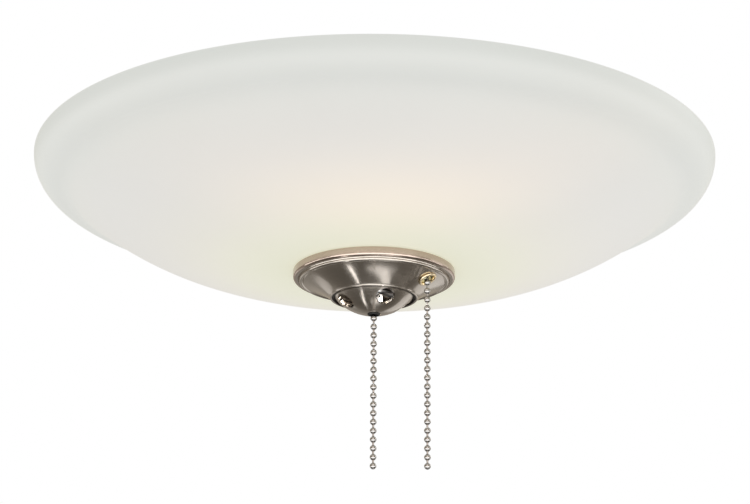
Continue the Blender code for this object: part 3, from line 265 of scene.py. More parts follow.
# Painted light on the glass as its glow, by share of the bowl's radius, with painted shade in the groove and
# at the lip's edge, and a warm painted pool of light round a place (x, y)
PAINTED_GLOW_BANDS = [
    (0.20, (0.50, 0.50, 0.36)), (0.36, (0.53, 0.52, 0.40)), (0.50, (0.515, 0.49, 0.425)),
    (0.68, (0.475, 0.46, 0.435)), (0.82, (0.465, 0.455, 0.43)), (0.87, (0.465, 0.46, 0.43)),
    (0.91, (0.43, 0.435, 0.41)), (0.95, (0.425, 0.43, 0.405)), (0.975, (0.455, 0.46, 0.43)),
    (0.99, (0.445, 0.45, 0.42)), (1.0, (0.37, 0.38, 0.35)),
]
PAINTED_POOL_WARMTH = (0.115, 0.062, 0.02)
PAINTED_POOL_PLACE = (0.012, -0.091)
PAINTED_POOL_SPREAD = (0.057, 0.023)

# The cap and dome: a painted reflection, a rosy tint out on the flange, and painted shade, dark in the gap
# between dome and ring
NICKEL = (0.52, 0.475, 0.425)
FLANGE_PAINTED_REFLECTION = (0.52, 0.425, 0.365, 1)
FLANGE_REFLECTION_START = 0.0378
FLANGE_REFLECTION_END = 0.0392
GAP_SHADE_SCALE = 0.03
GAP_UNSHADED = (1.0, 1.0, 1.0)
GAP_PAINTED_SHADE = (0.1, 0.09, 0.08)

# The room that the metal reflects, by height: 0 is straight down and 1 straight up
ROOM_TONES = [
    (0.0, (0.12, 0.11, 0.095)), (0.06, (0.12, 0.11, 0.095)), (0.16, (0.16, 0.145, 0.125)),
    (0.24, (0.25, 0.23, 0.205)), (0.33, (0.32, 0.30, 0.27)), (0.45, (0.41, 0.38, 0.34)),
    (0.67, (0.46, 0.38, 0.27)), (1.0, (0.74, 0.70, 0.65)),
]
EVEN_LIGHT = 0.54

# Camera, from below, and the floor
CAMERA_ELEVATION = math.radians(20.1)
CAMERA_DISTANCE = 1.344
CAMERA_LENS = 129.8
CAMERA_FOCAL = 2704
CAMERA_SHIFT = (0.4, 87.3)
CAMERA_ROLL = math.radians(0.3)
LIGHT_TARGET = (0, 0, -0.075)
FLOOR_HALF = 4.0
FLOOR_HEIGHT = -3.0
FLOOR_COLOUR = (0.82, 0.81, 0.79)
FLOOR_FADE_START = 1.0
FLOOR_FADE_END = 3.8


def spaced(first, last, count):
    return [first + (last - first) * number / (count - 1) for number in range(count)]


def arc(centre, radii, first, last, count):
    """Points on an ellipse about centre, between two angles in degrees."""
    angles = [math.radians(angle) for angle in spaced(first, last, count)]
    return [(centre[0] + radii[0] * math.cos(a), centre[1] + radii[1] * math.sin(a)) for a in angles]


def filleted(points):
    """An outline whose corners are rounded: a point is (radius, height), or (radius, height, set-back)."""
    result = []
    for number, point in enumerate(points):
        corner = Vector(point[:2])
        if len(point) == 2:
            result.append(tuple(corner))
            continue
        back = Vector(points[number - 1][:2]) - corner
        ahead = Vector(points[(number + 1) % len(points)][:2]) - corner
        reach = min(point[2], back.length / 2.2, ahead.length / 2.2)
        start = corner + back.normalized() * reach
        end = corner + ahead.normalized() * reach
        for t in spaced(0, 1, FILLET_STEPS):
            result.append(tuple(start * (1 - t) ** 2 + corner * (2 * t * (1 - t)) + end * t * t))
    return result


def around(angle, radius, height):
    return Vector((radius * math.cos(angle), radius * math.sin(angle), height))


def finished(name, shape, finish):
    bmesh.ops.recalc_face_normals(shape, faces=shape.faces[:])
    mesh = bpy.data.meshes.new(name)
    shape.to_mesh(mesh)
    shape.free()
    mesh.shade_smooth()
    mesh.set_sharp_from_angle(angle=SHARP_ANGLE)
    obj = bpy.data.objects.new(name, mesh)
    scene.collection.objects.link(obj)
    if finish:
        mesh.materials.append(finish)
    return obj


def lathe(name, outline, sides, finish=None, seat=(0, 0, 0), out=(0, 0, 1)):
    """A turned piece from a closed outline of (radius, height), its axis through seat and pointing out."""
    turn = Vector(out).to_track_quat("Z", "Y")
    place = Vector(seat)
    shape = bmesh.new()
    angles = [2 * math.pi * number / sides for number in range(sides)]
    rings = []
    for radius, height in outline:
        count = 1 if radius == 0 else sides
        points = [turn @ around(angle, radius, height) for angle in angles[:count]]
        rings.append([shape.verts.new(place + point) for point in points])
    for ring, other in zip(rings, rings[1:] + rings[:1]):
        if len(ring) == 1 and len(other) == 1:
            continue
        for number in range(sides):
            after = (number + 1) % sides
            corners = [ring[number % len(ring)], ring[after % len(ring)]]
            corners += [other[after % len(other)], other[number % len(other)]]
            shape.faces.new(list(dict.fromkeys(corners)))
    return finished(name, shape, finish)


def cut(obj, tools, operation="DIFFERENCE"):
    """Cuts the tools out of obj for good, or keeps only what they share with it."""
    for tool in tools:
        boolean = obj.modifiers.new(tool.name, "BOOLEAN")
        boolean.operation = operation
        boolean.solver = "EXACT"
        boolean.object = tool
    bpy.context.view_layer.update()
    evaluated = obj.evaluated_get(bpy.context.evaluated_depsgraph_get())
    mesh = bpy.data.meshes.new_from_object(evaluated)
    obj.modifiers.clear()
    obj.data = mesh
    mesh.name = obj.name
    mesh.shade_smooth()
    mesh.set_sharp_from_angle(angle=SHARP_ANGLE)
    for tool in tools:
        bpy.data.objects.remove(tool)


def drill(name, radius, near, far, sides=32):
    along = Vector(far) - Vector(near)
    outline = [(0, along.length), (radius, along.length), (radius, 0), (0, 0)]
    return lathe(name, outline, sides, seat=near, out=along.normalized())


def slab(name, middle, size, turn):
    """A box, turned from the axes by this quaternion."""
    shape = bmesh.new()
    bmesh.ops.create_cube(shape, size=1)
    for vert in shape.verts:
        vert.co = Vector(middle) + turn @ Vector([part * side for part, side in zip(vert.co, size)])
    return finished(name, shape, None)


def soften(obj, width, angle=40, segments=2):
    """Rounds the edges of an object as it is shown."""
    bevel = obj.modifiers.new("soften", "BEVEL")
    bevel.width = width
    bevel.segments = segments
    bevel.limit_method = "ANGLE"
    bevel.angle_limit = math.radians(angle)
    bevel.harden_normals = False


def put(obj, body, slot, *stands_for):
    """Ties a new piece to its body and hides the solids that it stands for; the slot is not used."""
    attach(obj, body)
    if stands_for:
        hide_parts(*stands_for)
    return obj


# Materials

def add(tree, kind, settings=None, **inputs):
    """A new node, with its settings and its inputs: a number or colour, or an output to link from."""
    made = tree.nodes.new(kind)
    for name, value in (settings or {}).items():
        setattr(made, name, value)
    for name, value in inputs.items():
        join(tree, made.inputs[int(name[1:]) if name[0] == "_" else name.replace("_", " ")], value)
    return made


def join(tree, socket, value):
    if isinstance(value, bpy.types.NodeSocket):
        tree.links.new(value, socket)
    else:
        socket.default_value = value


def math_node(tree, operation, *values):
    made = tree.nodes.new("ShaderNodeMath")
    made.operation = operation
    for number, value in enumerate(values):
        join(tree, made.inputs[number], value)
    return made.outputs[0]


def ramp(tree, value, stops, between="LINEAR"):
    """A colour ramp: stops are (place, colour)."""
    made = add(tree, "ShaderNodeValToRGB", _0=value)
    made.color_ramp.interpolation = between
    elements = made.color_ramp.elements
    while len(elements) < len(stops):
        elements.new(0.5)
    for element, (place, colour) in zip(elements, stops):
        element.position = place
        element.color = (*colour, 1)
    return made.outputs[0]


def material(name, colour, roughness, metallic=0.0, **inputs):
    """A new material, with its node tree and its shader, ready for more nodes."""
    made = bpy.data.materials.new(name)
    made.use_nodes = True
    tree = made.node_tree
    shader = tree.nodes["Principled BSDF"]
    shader.inputs["Base Color"].default_value = (*colour, 1)
    shader.inputs["Roughness"].default_value = roughness
    shader.inputs["Metallic"].default_value = metallic
    for socket, value in inputs.items():
        shader.inputs[socket.replace("_", " ")].default_value = value
    made.diffuse_color = (*colour, 1)
    return made, tree, shader


def mottled(tree, shader, colour, scale, colour_change, roughness, roughness_change, coordinates=None):
    """Gives a shader's colour and roughness a slow, cloudy change."""
    where = coordinates or add(tree, "ShaderNodeTexCoord").outputs["Object"]
    noise = add(tree, "ShaderNodeTexNoise", Vector=where, Scale=scale, Detail=4.0)
    darker = tuple(max(c * (1 - colour_change), 0) for c in colour)
    lighter = tuple(min(c * (1 + colour_change), 1) for c in colour)
    join(tree, shader.inputs["Base Color"], ramp(tree, noise.outputs[0], [(0.3, darker), (0.7, lighter)]))
    level = add(tree, "ShaderNodeMapRange", Value=noise.outputs[0], From_Min=0.3, From_Max=0.7,
                To_Min=roughness - roughness_change, To_Max=roughness + roughness_change)
    join(tree, shader.inputs["Roughness"], level.outputs[0])
    return where


def grained(tree, shader, where, scale, strength, distance):
    noise = add(tree, "ShaderNodeTexNoise", Vector=where, Scale=scale, Detail=3.0)
    bump = add(tree, "ShaderNodeBump", Height=noise.outputs[0], Strength=strength, Distance=distance)
    join(tree, shader.inputs["Normal"], bump.outputs[0])


def ring_coordinates(tree):
    """(distance from the vertical axis, height, 0), so that a texture runs in rings."""
    where = add(tree, "ShaderNodeTexCoord").outputs["Object"]
    apart = add(tree, "ShaderNodeSeparateXYZ", Vector=where)
    x, y, z = apart.outputs
    square = math_node(tree, "ADD", math_node(tree, "MULTIPLY", x, x), math_node(tree, "MULTIPLY", y, y))
    radius = math_node(tree, "SQRT", square)
    return add(tree, "ShaderNodeCombineXYZ", X=radius, Y=z).outputs[0], radius, z


def spun_nickel():
    """Brushed nickel, spun: fine rings that fan the highlights out across them."""
    made, tree, shader = material("spun nickel", NICKEL, 0.3, 1.0, Anisotropic=0.85,
                                  Anisotropic_Rotation=0.25)
    rings, radius, _ = ring_coordinates(tree)
    mottled(tree, shader, NICKEL, 2200, 0.03, 0.2, 0.02, rings)
    plain_colour = shader.inputs["Base Color"].links[0].from_socket
    # Painted reflection: the flange's outer wall is tinted rosy for the warm light that it reflects.
    outward = add(tree, "ShaderNodeMapRange", Value=radius, From_Min=FLANGE_REFLECTION_START,
                  From_Max=FLANGE_REFLECTION_END).outputs[0]
    rosy = add(tree, "ShaderNodeMix", {"data_type": "RGBA"}, _0=outward, _6=plain_colour, _7=FLANGE_PAINTED_REFLECTION)
    # Painted shade: the colour is darkened in the gap between the dome and the ring.
    gap = ramp(tree, math_node(tree, "DIVIDE", radius, GAP_SHADE_SCALE),
               [(0.625, GAP_UNSHADED), (0.640, GAP_PAINTED_SHADE), (0.683, GAP_PAINTED_SHADE), (0.696, GAP_UNSHADED)])
    shaded = add(tree, "ShaderNodeVectorMath", {"operation": "MULTIPLY"}, _0=rosy.outputs[2], _1=gap)
    join(tree, shader.inputs["Base Color"], shaded.outputs[0])
    grained(tree, shader, rings, 6000, 0.05, 0.00002)
    tangent = add(tree, "ShaderNodeTangent", {"direction_type": "RADIAL", "axis": "Z"})
    join(tree, shader.inputs["Tangent"], tangent.outputs[0])
    return made


def bright_plate(name, colour, roughness):
    made, tree, shader = material(name, colour, roughness, 1.0)
    where = mottled(tree, shader, colour, 300, 0.05, roughness, roughness * 0.3)
    grained(tree, shader, where, 2500, 0.05, 0.00003)
    return made


def zinc():
    colour = (0.62, 0.63, 0.65)
    made, tree, shader = material("zinc plate", colour, 0.36, 1.0)
    where = mottled(tree, shader, colour, 220, 0.12, 0.36, 0.1)
    grained(tree, shader, where, 1800, 0.12, 0.00004)
    return made


def enamel():
    colour = (0.85, 0.85, 0.83)
    made, tree, shader = material("white enamel", colour, 0.38)
    where = mottled(tree, shader, colour, 60, 0.02, 0.38, 0.05)
    grained(tree, shader, where, 900, 0.08, 0.00005)
    return made


def opal_glass():
    """Satin opal glass with painted light as its glow: a warm painted pool round one place, and painted shade
    that makes it cooler and dimmer at the lip.
    """
    colour = (0.55, 0.55, 0.545)
    made, tree, shader = material("satin opal glass", colour, 0.45, IOR=1.45, Specular_IOR_Level=0.15)
    where = mottled(tree, shader, colour, 25, 0.012, 0.45, 0.03)
    grained(tree, shader, where, 1500, 0.03, 0.00003)
    _, radius, _ = ring_coordinates(tree)
    # Painted light and shade in the emission: glow by radius, shaded in the groove and at the lip, and a warm
    # pool round one place.
    bands = ramp(tree, math_node(tree, "DIVIDE", radius, BOWL_RADIUS), PAINTED_GLOW_BANDS, "B_SPLINE")
    near = painted_pool_at(tree, where, PAINTED_POOL_PLACE, PAINTED_POOL_SPREAD)
    warm = add(tree, "ShaderNodeVectorMath", {"operation": "SCALE"}, _0=PAINTED_POOL_WARMTH, Scale=near)
    total = add(tree, "ShaderNodeVectorMath", {"operation": "ADD"}, _0=bands, _1=warm.outputs[0])
    join(tree, shader.inputs["Emission Color"], total.outputs[0])
    shader.inputs["Emission Strength"].default_value = 1.0
    return made


def painted_pool_at(tree, where, centre, spread):
    """1 on the vertical line through centre, falling off smoothly by its spread along X and along Y."""
    apart = add(tree, "ShaderNodeSeparateXYZ", Vector=where).outputs
    squares = []
    for number in (0, 1):
        away = math_node(tree, "SUBTRACT", apart[number], centre[number])
        share = math_node(tree, "DIVIDE", away, spread[number])
        squares.append(math_node(tree, "MULTIPLY", share, share))
    return math_node(tree, "EXPONENT", math_node(tree, "MULTIPLY", math_node(tree, "ADD", *squares), -0.5))


def lamp_glass():
    colour = (0.95, 0.93, 0.88)
    made, tree, shader = material("lit frosted lamp", colour, 0.35, IOR=1.45, Emission_Strength=1.0)
    where = mottled(tree, shader, colour, 90, 0.02, 0.35, 0.04)
    apart = add(tree, "ShaderNodeTexNoise", Vector=where, Scale=40.0)
    join(tree, shader.inputs["Emission Color"],
         ramp(tree, apart.outputs[0], [(0.3, (1.0, 0.86, 0.62)), (0.7, (1.0, 0.93, 0.76))]))
    return made


def plain(name, colour, roughness, change=0.06, grain=900, depth=0.00004, strength=0.15):
    made, tree, shader = material(name, colour, roughness)
    where = mottled(tree, shader, colour, 180, change, roughness, 0.06)
    grained(tree, shader, where, grain, strength, depth)
    return made


FINISHES = {
    "nickel": spun_nickel(),
    "nickel_plate": bright_plate("bright nickel plate", (0.74, 0.71, 0.66), 0.2),
    "chain": bright_plate("bright chain", (0.38, 0.37, 0.36), 0.07),
    "brass": bright_plate("polished brass", (1.0, 0.82, 0.56), 0.14),
    "aluminium": bright_plate("lamp base", (0.80, 0.79, 0.76), 0.28),
    "steel": zinc(),
    "pan_enamel": enamel(),
    "opal_glass": opal_glass(),
    "lamp_glass": lamp_glass(),
    "ceramic": plain("glazed ceramic", (0.86, 0.85, 0.80), 0.22, 0.03, 700),
    "fibre": plain("pressed fibre", (0.55, 0.50, 0.42), 0.85, 0.22, 2500, 0.0002, 0.6),
    "gasket": plain("gasket rubber", (0.08, 0.08, 0.08), 0.75),
    "grommet": plain("black grommet", (0.006, 0.006, 0.006), 0.6),
    "phenolic": plain("dark phenolic", (0.05, 0.042, 0.038), 0.45),
    "white_lead": plain("white lead", (0.84, 0.83, 0.80), 0.45),
    "black_lead": plain("black lead", (0.025, 0.025, 0.025), 0.42),
}
SLOTS = {row["node"]: row["material_slot"] for row in frame["record"]["subparts"]}
for name, node in frame["nodes"].items():
    node.data.materials.clear()
    node.data.materials.append(FINISHES[SLOTS[name]])


# Bowl

def glass_height(radius):
    rise = BOWL_DEPTH - LIP_DEPTH
    return RIM_HEIGHT - BOWL_DEPTH + rise * (radius / GROOVE_RADIUS) ** BOWL_FULLNESS


def glass_inner_point(radius):
    rise = BOWL_DEPTH - LIP_DEPTH
    slope = rise * BOWL_FULLNESS / GROOVE_RADIUS * (radius / GROOVE_RADIUS) ** (BOWL_FULLNESS - 1)
    through = GLASS_THICKNESS / math.hypot(1, slope)
    return radius - slope * through, glass_height(radius) + through


def make_bowl():
    across = BOWL_RADIUS - GROOVE_RADIUS
    down = LIP_DEPTH - RIM_FLAT
    centre = (GROOVE_RADIUS, RIM_HEIGHT - RIM_FLAT)
    radii = spaced(GLASS_HOLE_RADIUS, GROOVE_RADIUS - GROOVE_BLEND, 46)
    dome = [(radius, glass_height(radius)) for radius in radii]
    lip = arc(centre, (across, down), -72, 0, 22)
    start, end = Vector(dome[-1]), Vector(lip[0])
    crease = Vector((GROOVE_RADIUS, RIM_HEIGHT - LIP_DEPTH + CREASE_RISE))
    blend = [tuple(start * (1 - t) ** 2 + crease * (2 * t * (1 - t)) + end * t * t) for t in spaced(0, 1, 9)]
    rim = arc((BOWL_RADIUS - RIM_ROUND, RIM_HEIGHT - RIM_ROUND), (RIM_ROUND, RIM_ROUND), 0, 90, 5)
    inner_edge = BOWL_RADIUS - GLASS_THICKNESS
    rim += arc((inner_edge + RIM_ROUND, RIM_HEIGHT - RIM_ROUND), (RIM_ROUND, RIM_ROUND), 90, 180, 5)
    inner_lip = arc(centre, (across - GLASS_THICKNESS, down - GLASS_THICKNESS), 0, -75, 12)
    inner_start = GROOVE_RADIUS - GROOVE_INNER_BLEND
    inner = [glass_inner_point(radius) for radius in spaced(inner_start, GLASS_HOLE_RADIUS, 26)]
    outline = dome + blend[1:-1] + lip + rim + inner_lip + inner
    bowl = lathe("opal_bowl", outline, 240, FINISHES["opal_glass"])
    return put(bowl, "bowl", "opal_glass", "glass_bowl")


make_bowl()


# Cap, eyelet and finial

CAP_TOP = glass_height(CAP_RADIUS) - CLEARANCE
WEB_UNDER = CAP_TOP - CAP_WEB_DEPTH
DOME_CENTRE = CAP_TOP - DOME_EDGE_DEPTH + math.sqrt(DOME_SPHERE**2 - DOME_EDGE_RADIUS**2)
DOME_INNER = DOME_SPHERE - DOME_WALL
HUB_CORNER = HUB_FLATS / 2 / math.cos(math.pi / 6)
HUB_BOTTOM = DOME_CENTRE - math.sqrt(DOME_INNER**2 - HUB_CORNER**2) + CLEARANCE


def cove_point(share, depth=0.0):
    """A point of the cap's coved side, from its bead at 0 to its ring at 1, or this deep behind it."""
    run = CAP_BEAD_CENTRE - CAP_BEAD_ROUND - CAP_RING_RADIUS - CAP_RING_ROUND
    drop = CAP_COVE_END - CAP_COVE_START
    length = math.hypot(run, drop)
    sag = CAP_COVE_SAG * 4 * share * (1 - share) + depth
    radius = CAP_BEAD_CENTRE - CAP_BEAD_ROUND - run * share - sag * drop / length
    return radius, CAP_TOP - CAP_COVE_START - drop * share + sag * run / length


def eyelet_seat():
    low, high = 0.0, 1.0
    for _ in range(30):
        middle = (low + high) / 2
        if cove_point(middle)[0] > LIGHT_CHAIN_CIRCLE:
            low = middle
        else:
            high = middle
    radius, height = cove_point(low)
    ahead = cove_point(low + 0.001)
    tilt = math.atan2(height - ahead[1], radius - ahead[0])
    out = around(LIGHT_CHAIN_ANGLE, math.sin(tilt), -math.cos(tilt))
    return around(LIGHT_CHAIN_ANGLE, radius, height), out


def make_cap():
    flange = CAP_TOP - CAP_FLANGE_HEIGHT
    outline = arc((CAP_RADIUS - CAP_EDGE, CAP_TOP - CAP_EDGE), (CAP_EDGE, CAP_EDGE), 90, 0, 4)
    outline += arc((CAP_RADIUS - CAP_ROLL, flange + CAP_ROLL), (CAP_ROLL, CAP_ROLL), 0, -90, 8)
    quirk = CAP_BEAD_CENTRE + CAP_BEAD_ROUND
    outline += [(quirk + CAP_QUIRK_WIDTH, flange), (quirk + CAP_QUIRK_FOOT, flange + CAP_QUIRK_DEPTH)]
    bead = (CAP_BEAD_CENTRE, flange - CAP_BEAD_DROP)
    outline += arc(bead, (CAP_BEAD_ROUND, CAP_BEAD_ROUND), 25, -150, 12)
    outline += [cove_point(share) for share in spaced(0.01, 0.97, 28)]
    ring = (CAP_RING_RADIUS, CAP_TOP - CAP_COVE_END)
    outline += arc(ring, (CAP_RING_ROUND, CAP_RING_ROUND), -20, -180, 9)
    outline += [(CAP_RECESS_RADIUS, WEB_UNDER), (PIPE_HOLE, WEB_UNDER), (PIPE_HOLE, WEB_UNDER + CAP_WALL)]
    outline += [cove_point(share, CAP_WALL) for share in spaced(COVE_WEB_SHARE, 0, 10)]
    inner, rim, seat = outline[-1][0], CAP_RADIUS - CAP_RIM_WALL, CAP_TOP - CAP_SEAT_DEPTH
    outline += [(inner, seat), (rim, seat), (rim, CAP_TOP)]
    cap = lathe("spun_cap", outline, 160, FINISHES["nickel"])
    place, out = eyelet_seat()
    reach = out * EYELET_HOLE_REACH
    cut(cap, [drill("eyelet_hole", EYELET_HOLE_RADIUS, place - reach, place + reach)])
    return put(cap, "bowl", "nickel", "bottom_cap")


def make_eyelet():
    outline = filleted([
        (EYELET_BORE, -EYELET_TAIL), (EYELET_BARREL, -EYELET_TAIL), (EYELET_BARREL, CLEARANCE),
        (EYELET_RADIUS, CLEARANCE, 0.0002), (EYELET_RADIUS, EYELET_EDGE, 0.0003), *EYELET_BELL,
        (EYELET_BORE, EYELET_MOUTH, 0.0003),
    ])
    place, out = eyelet_seat()
    eyelet = lathe("bell_eyelet", outline, 40, FINISHES["brass"], place, out)
    return put(eyelet, "bowl", "brass", "chain_eyelet")


def make_dome():
    edge = CAP_TOP - DOME_EDGE_DEPTH
    first = math.degrees(math.asin((edge - DOME_CENTRE) / DOME_SPHERE))
    last = -90 + math.degrees(math.asin(DOME_OUTLET_RADIUS / DOME_SPHERE))
    outer = arc((0, DOME_CENTRE), (DOME_SPHERE, DOME_SPHERE), first, last, 26)
    inner_edge = DOME_EDGE_RADIUS - DOME_WALL
    inner_first = -math.degrees(math.acos(inner_edge / DOME_INNER))
    inner_last = -90 + math.degrees(math.asin(DOME_OUTLET_RADIUS / DOME_INNER))
    inner = arc((0, DOME_CENTRE), (DOME_INNER, DOME_INNER), inner_last, inner_first, 16)
    top = WEB_UNDER - CLEARANCE
    outline = filleted([(inner_edge, top), (DOME_EDGE_RADIUS, top, 0.0003)]) + outer + inner
    dome = lathe("pierced_dome", outline, 128, FINISHES["nickel"])
    tilt = math.asin(DOME_HOLE_CIRCLE / DOME_SPHERE)
    middle = Vector((0, 0, DOME_CENTRE))
    tools = []
    for number in range(4):
        out = around(DOME_HOLE_FIRST_ANGLE + math.pi / 2 * number, math.sin(tilt), -math.cos(tilt))
        near = middle + out * (DOME_INNER - DOME_DRILL_OVERRUN)
        far = middle + out * (DOME_SPHERE + DOME_DRILL_OVERRUN)
        tools.append(drill(f"hole_{number + 1}", DOME_HOLE_RADIUS, near, far, 48))
    cut(dome, tools)
    soften(dome, 0.0004, 60, 3)
    return put(dome, "finial", "nickel", "finial")


def make_grommet():
    seat = DOME_CENTRE - math.sqrt(DOME_INNER**2 - GROMMET_FLANGE_RADIUS**2) + CLEARANCE
    top = seat + GROMMET_FLANGE_HEIGHT
    bottom = DOME_CENTRE - DOME_SPHERE - GROMMET_STANDS_OUT
    outline = filleted([
        (GROMMET_BORE, top, 0.0002), (GROMMET_FLANGE_RADIUS, top, 0.0003),
        (GROMMET_FLANGE_RADIUS, seat, 0.0003), (GROMMET_BARREL, seat), (GROMMET_BARREL, bottom, 0.0003),
        (GROMMET_BORE, bottom, 0.0002),
    ])
    grommet = lathe("round_grommet", outline, 48, FINISHES["grommet"])
    return put(grommet, "finial", "grommet", "outlet_grommet")


make_cap()
make_eyelet()
make_dome()
make_grommet()


# What is on the pipe

def make_hex(stands_for, body, slot, bottom, top, flats=NUT_FLATS):
    """A hexagonal nut on the pipe, its corners turned down."""
    corner = flats / 2 / math.cos(math.pi / 6)
    face = flats / 2 * NUT_FACE_SHARE
    drop = (corner - face) * NUT_TURNED_SHARE
    outline = [(PIPE_HOLE, bottom), (face, bottom), (corner, bottom + drop)]
    outline += [(corner, top - drop), (face, top), (PIPE_HOLE, top)]
    nut = lathe(stands_for + "_turned", outline, 96, FINISHES[slot])
    low, high = bottom - OVERRUN, top + OVERRUN
    cut(nut, [lathe("hexagon", [(0, low), (corner, low), (corner, high), (0, high)], 6)], "INTERSECT")
    return put(nut, body, slot, stands_for)


def make_ring(stands_for, body, slot, inner, outer, bottom, top, fillet=0.0002):
    corners = [(inner, bottom), (outer, bottom), (outer, top), (inner, top)]
    outline = filleted([(*corner, fillet) for corner in corners])
    return put(lathe(stands_for + "_turned", outline, 96, FINISHES[slot]), body, slot, stands_for)


def thread(radius, depth, pitch, low, high):
    """Points up a vee thread, its crests at this radius."""
    count = int((high - low) / pitch)
    points = []
    for number in range(count):
        points += [(radius - depth, low + pitch * number), (radius, low + pitch * (number + 0.5))]
    return points + [(radius - depth, low + pitch * count)]


def wave(radius, depth, pitch, low, high):
    """Points up a rolled, rounded thread."""
    steps = round((high - low) / pitch * 10)
    return [(radius - depth / 2 * (1 - math.cos(2 * math.pi * (height - low) / pitch)), height)
            for height in spaced(low, high, steps + 1)]


def make_pipe():
    low = HUB_BOTTOM + PIPE_END_RISE
    outline = [(PIPE_BORE, low), (PIPE_END_RADIUS, low)]
    start, end = low + PIPE_CHAMFER, PIPE_TOP - PIPE_CHAMFER
    outline += thread(PIPE_RADIUS, PIPE_THREAD_DEPTH, PIPE_PITCH, start, end)
    outline += [(PIPE_END_RADIUS, PIPE_TOP), (PIPE_BORE, PIPE_TOP)]
    return put(lathe("threaded_pipe", outline, 48, FINISHES["steel"]), "fixture", "steel", "lamp_pipe")


LOCKWASHER_TOP = -SHEET - CLEARANCE
LOCKWASHER_UNDER = LOCKWASHER_TOP - WASHER_THICKNESS
LOCKNUT_TOP = LOCKWASHER_UNDER - CLEARANCE
GASKET_SEAT = glass_inner_point(UPPER_GASKET_RADIUS)[1] + CLEARANCE
GASKET_TOP = GASKET_SEAT + UPPER_GASKET_THICKNESS
CLAMP_UNDER = GASKET_TOP + CLEARANCE
CLAMP_NUT_UNDER = CLAMP_UNDER + CLAMP_THICKNESS + CLEARANCE
CAP_WASHER_TOP = WEB_UNDER - CLEARANCE
CAP_WASHER_UNDER = CAP_WASHER_TOP - WASHER_THICKNESS
make_pipe()
make_hex("pan_locknut", "fixture", "steel", LOCKNUT_TOP - NUT_HEIGHT, LOCKNUT_TOP)
make_hex("bracket_nut", "fixture", "steel", BRACKET_NUT_TOP - NUT_HEIGHT, BRACKET_NUT_TOP)
make_hex("clamp_nut", "fixture", "steel", CLAMP_NUT_UNDER, CLAMP_NUT_UNDER + NUT_HEIGHT)
make_hex("finial_hub", "finial", "nickel_plate", HUB_BOTTOM, CAP_WASHER_UNDER - CLEARANCE, HUB_FLATS)
make_ring("pan_lockwasher", "fixture", "steel", PIPE_HOLE, WASHER_RADIUS, LOCKWASHER_UNDER, LOCKWASHER_TOP)
make_ring("cap_washer", "bowl", "steel", PIPE_HOLE, WASHER_RADIUS, CAP_WASHER_UNDER, CAP_WASHER_TOP)
make_ring("upper_gasket", "fixture", "gasket", GLASS_HOLE_RADIUS, UPPER_GASKET_RADIUS, GASKET_SEAT,
          GASKET_TOP, 0.0004)
make_ring("lower_gasket", "bowl", "gasket", LOWER_GASKET_INNER, LOWER_GASKET_RADIUS,
          CAP_TOP - LOWER_GASKET_SEAT_DEPTH, CAP_TOP - LOWER_GASKET_TOP_DEPTH, 0.0003)


# Pan, plate, pad and clamp plate

def upright(name, radius, place, low, high):
    return drill(name, radius, (place[0], place[1], low), (place[0], place[1], high), 40)


def side_screw_holes():
    holes = []
    for number, angle in enumerate(SIDE_SCREW_ANGLES):
        near, far = [around(angle, reach, SIDE_SCREW_HEIGHT) for reach in (SIDE_HOLE_START, SIDE_HOLE_END)]
        holes.append(drill(f"side_hole_{number}", SIDE_HOLE_RADIUS, near, far))
    return holes


def lead_holes(low, high):
    return [upright(f"lead_hole_{number}", LEAD_HOLE_RADIUS, around(angle, LEAD_HOLE_CIRCLE, 0), low, high)
            for number, angle in enumerate(LAMP_ANGLES)]


def make_pan():
    centre, inner = (PAN_RADIUS - PAN_SHOULDER, -PAN_SHOULDER), PAN_SHOULDER - SHEET
    outline = [(PIPE_HOLE, 0.0)] + arc(centre, (PAN_SHOULDER, PAN_SHOULDER), 90, 0, 14)
    outline += [(PAN_RADIUS, -PAN_DEPTH, PRESSED_EDGE), (PAN_RADIUS - SHEET, -PAN_DEPTH, PRESSED_EDGE)]
    outline += arc(centre, (inner, inner), 0, 90, 10) + [(PIPE_HOLE, -SHEET)]
    pan = lathe("pressed_pan", filleted(outline), 144, FINISHES["pan_enamel"])
    place = around(WIRE_HOLE_ANGLE, WIRE_HOLE_CIRCLE, 0)
    holes = [upright("wire_way", WIRE_HOLE_RADIUS, place, *PAN_CUT)]
    for number in range(3):
        place = around(WIRE_HOLE_ANGLE + math.radians(180 + 120 * number), FAN_HOLE_CIRCLE, 0)
        holes.append(upright(f"fan_hole_{number}", FAN_HOLE_RADIUS, place, *PAN_CUT))
    cut(pan, holes + side_screw_holes())
    return put(pan, "fixture", "pan_enamel", "fitter_pan")


def make_plate():
    centre, inner = (PLATE_RADIUS - PLATE_CORNER, PLATE_UNDER + PLATE_CORNER), PLATE_CORNER - SHEET
    flange = PLATE_UNDER + PLATE_FLANGE
    outline = [(PIPE_HOLE, PLATE_UNDER + SHEET)] + arc(centre, (inner, inner), 270, 360, 6)
    outline += [(PLATE_RADIUS - SHEET, flange, PRESSED_EDGE), (PLATE_RADIUS, flange, PRESSED_EDGE)]
    outline += arc(centre, (PLATE_CORNER, PLATE_CORNER), 0, -90, 10) + [(PIPE_HOLE, PLATE_UNDER)]
    plate = lathe("turned_up_plate", filleted(outline), 144, FINISHES["pan_enamel"])
    switch_hole = upright("switch_hole", BUSHING_RADIUS + CLEARANCE, LIGHT_CHAIN_PLACE, *PLATE_CUT)
    cut(plate, lead_holes(*PLATE_CUT) + side_screw_holes() + [switch_hole])
    return put(plate, "fixture", "pan_enamel", "socket_plate")


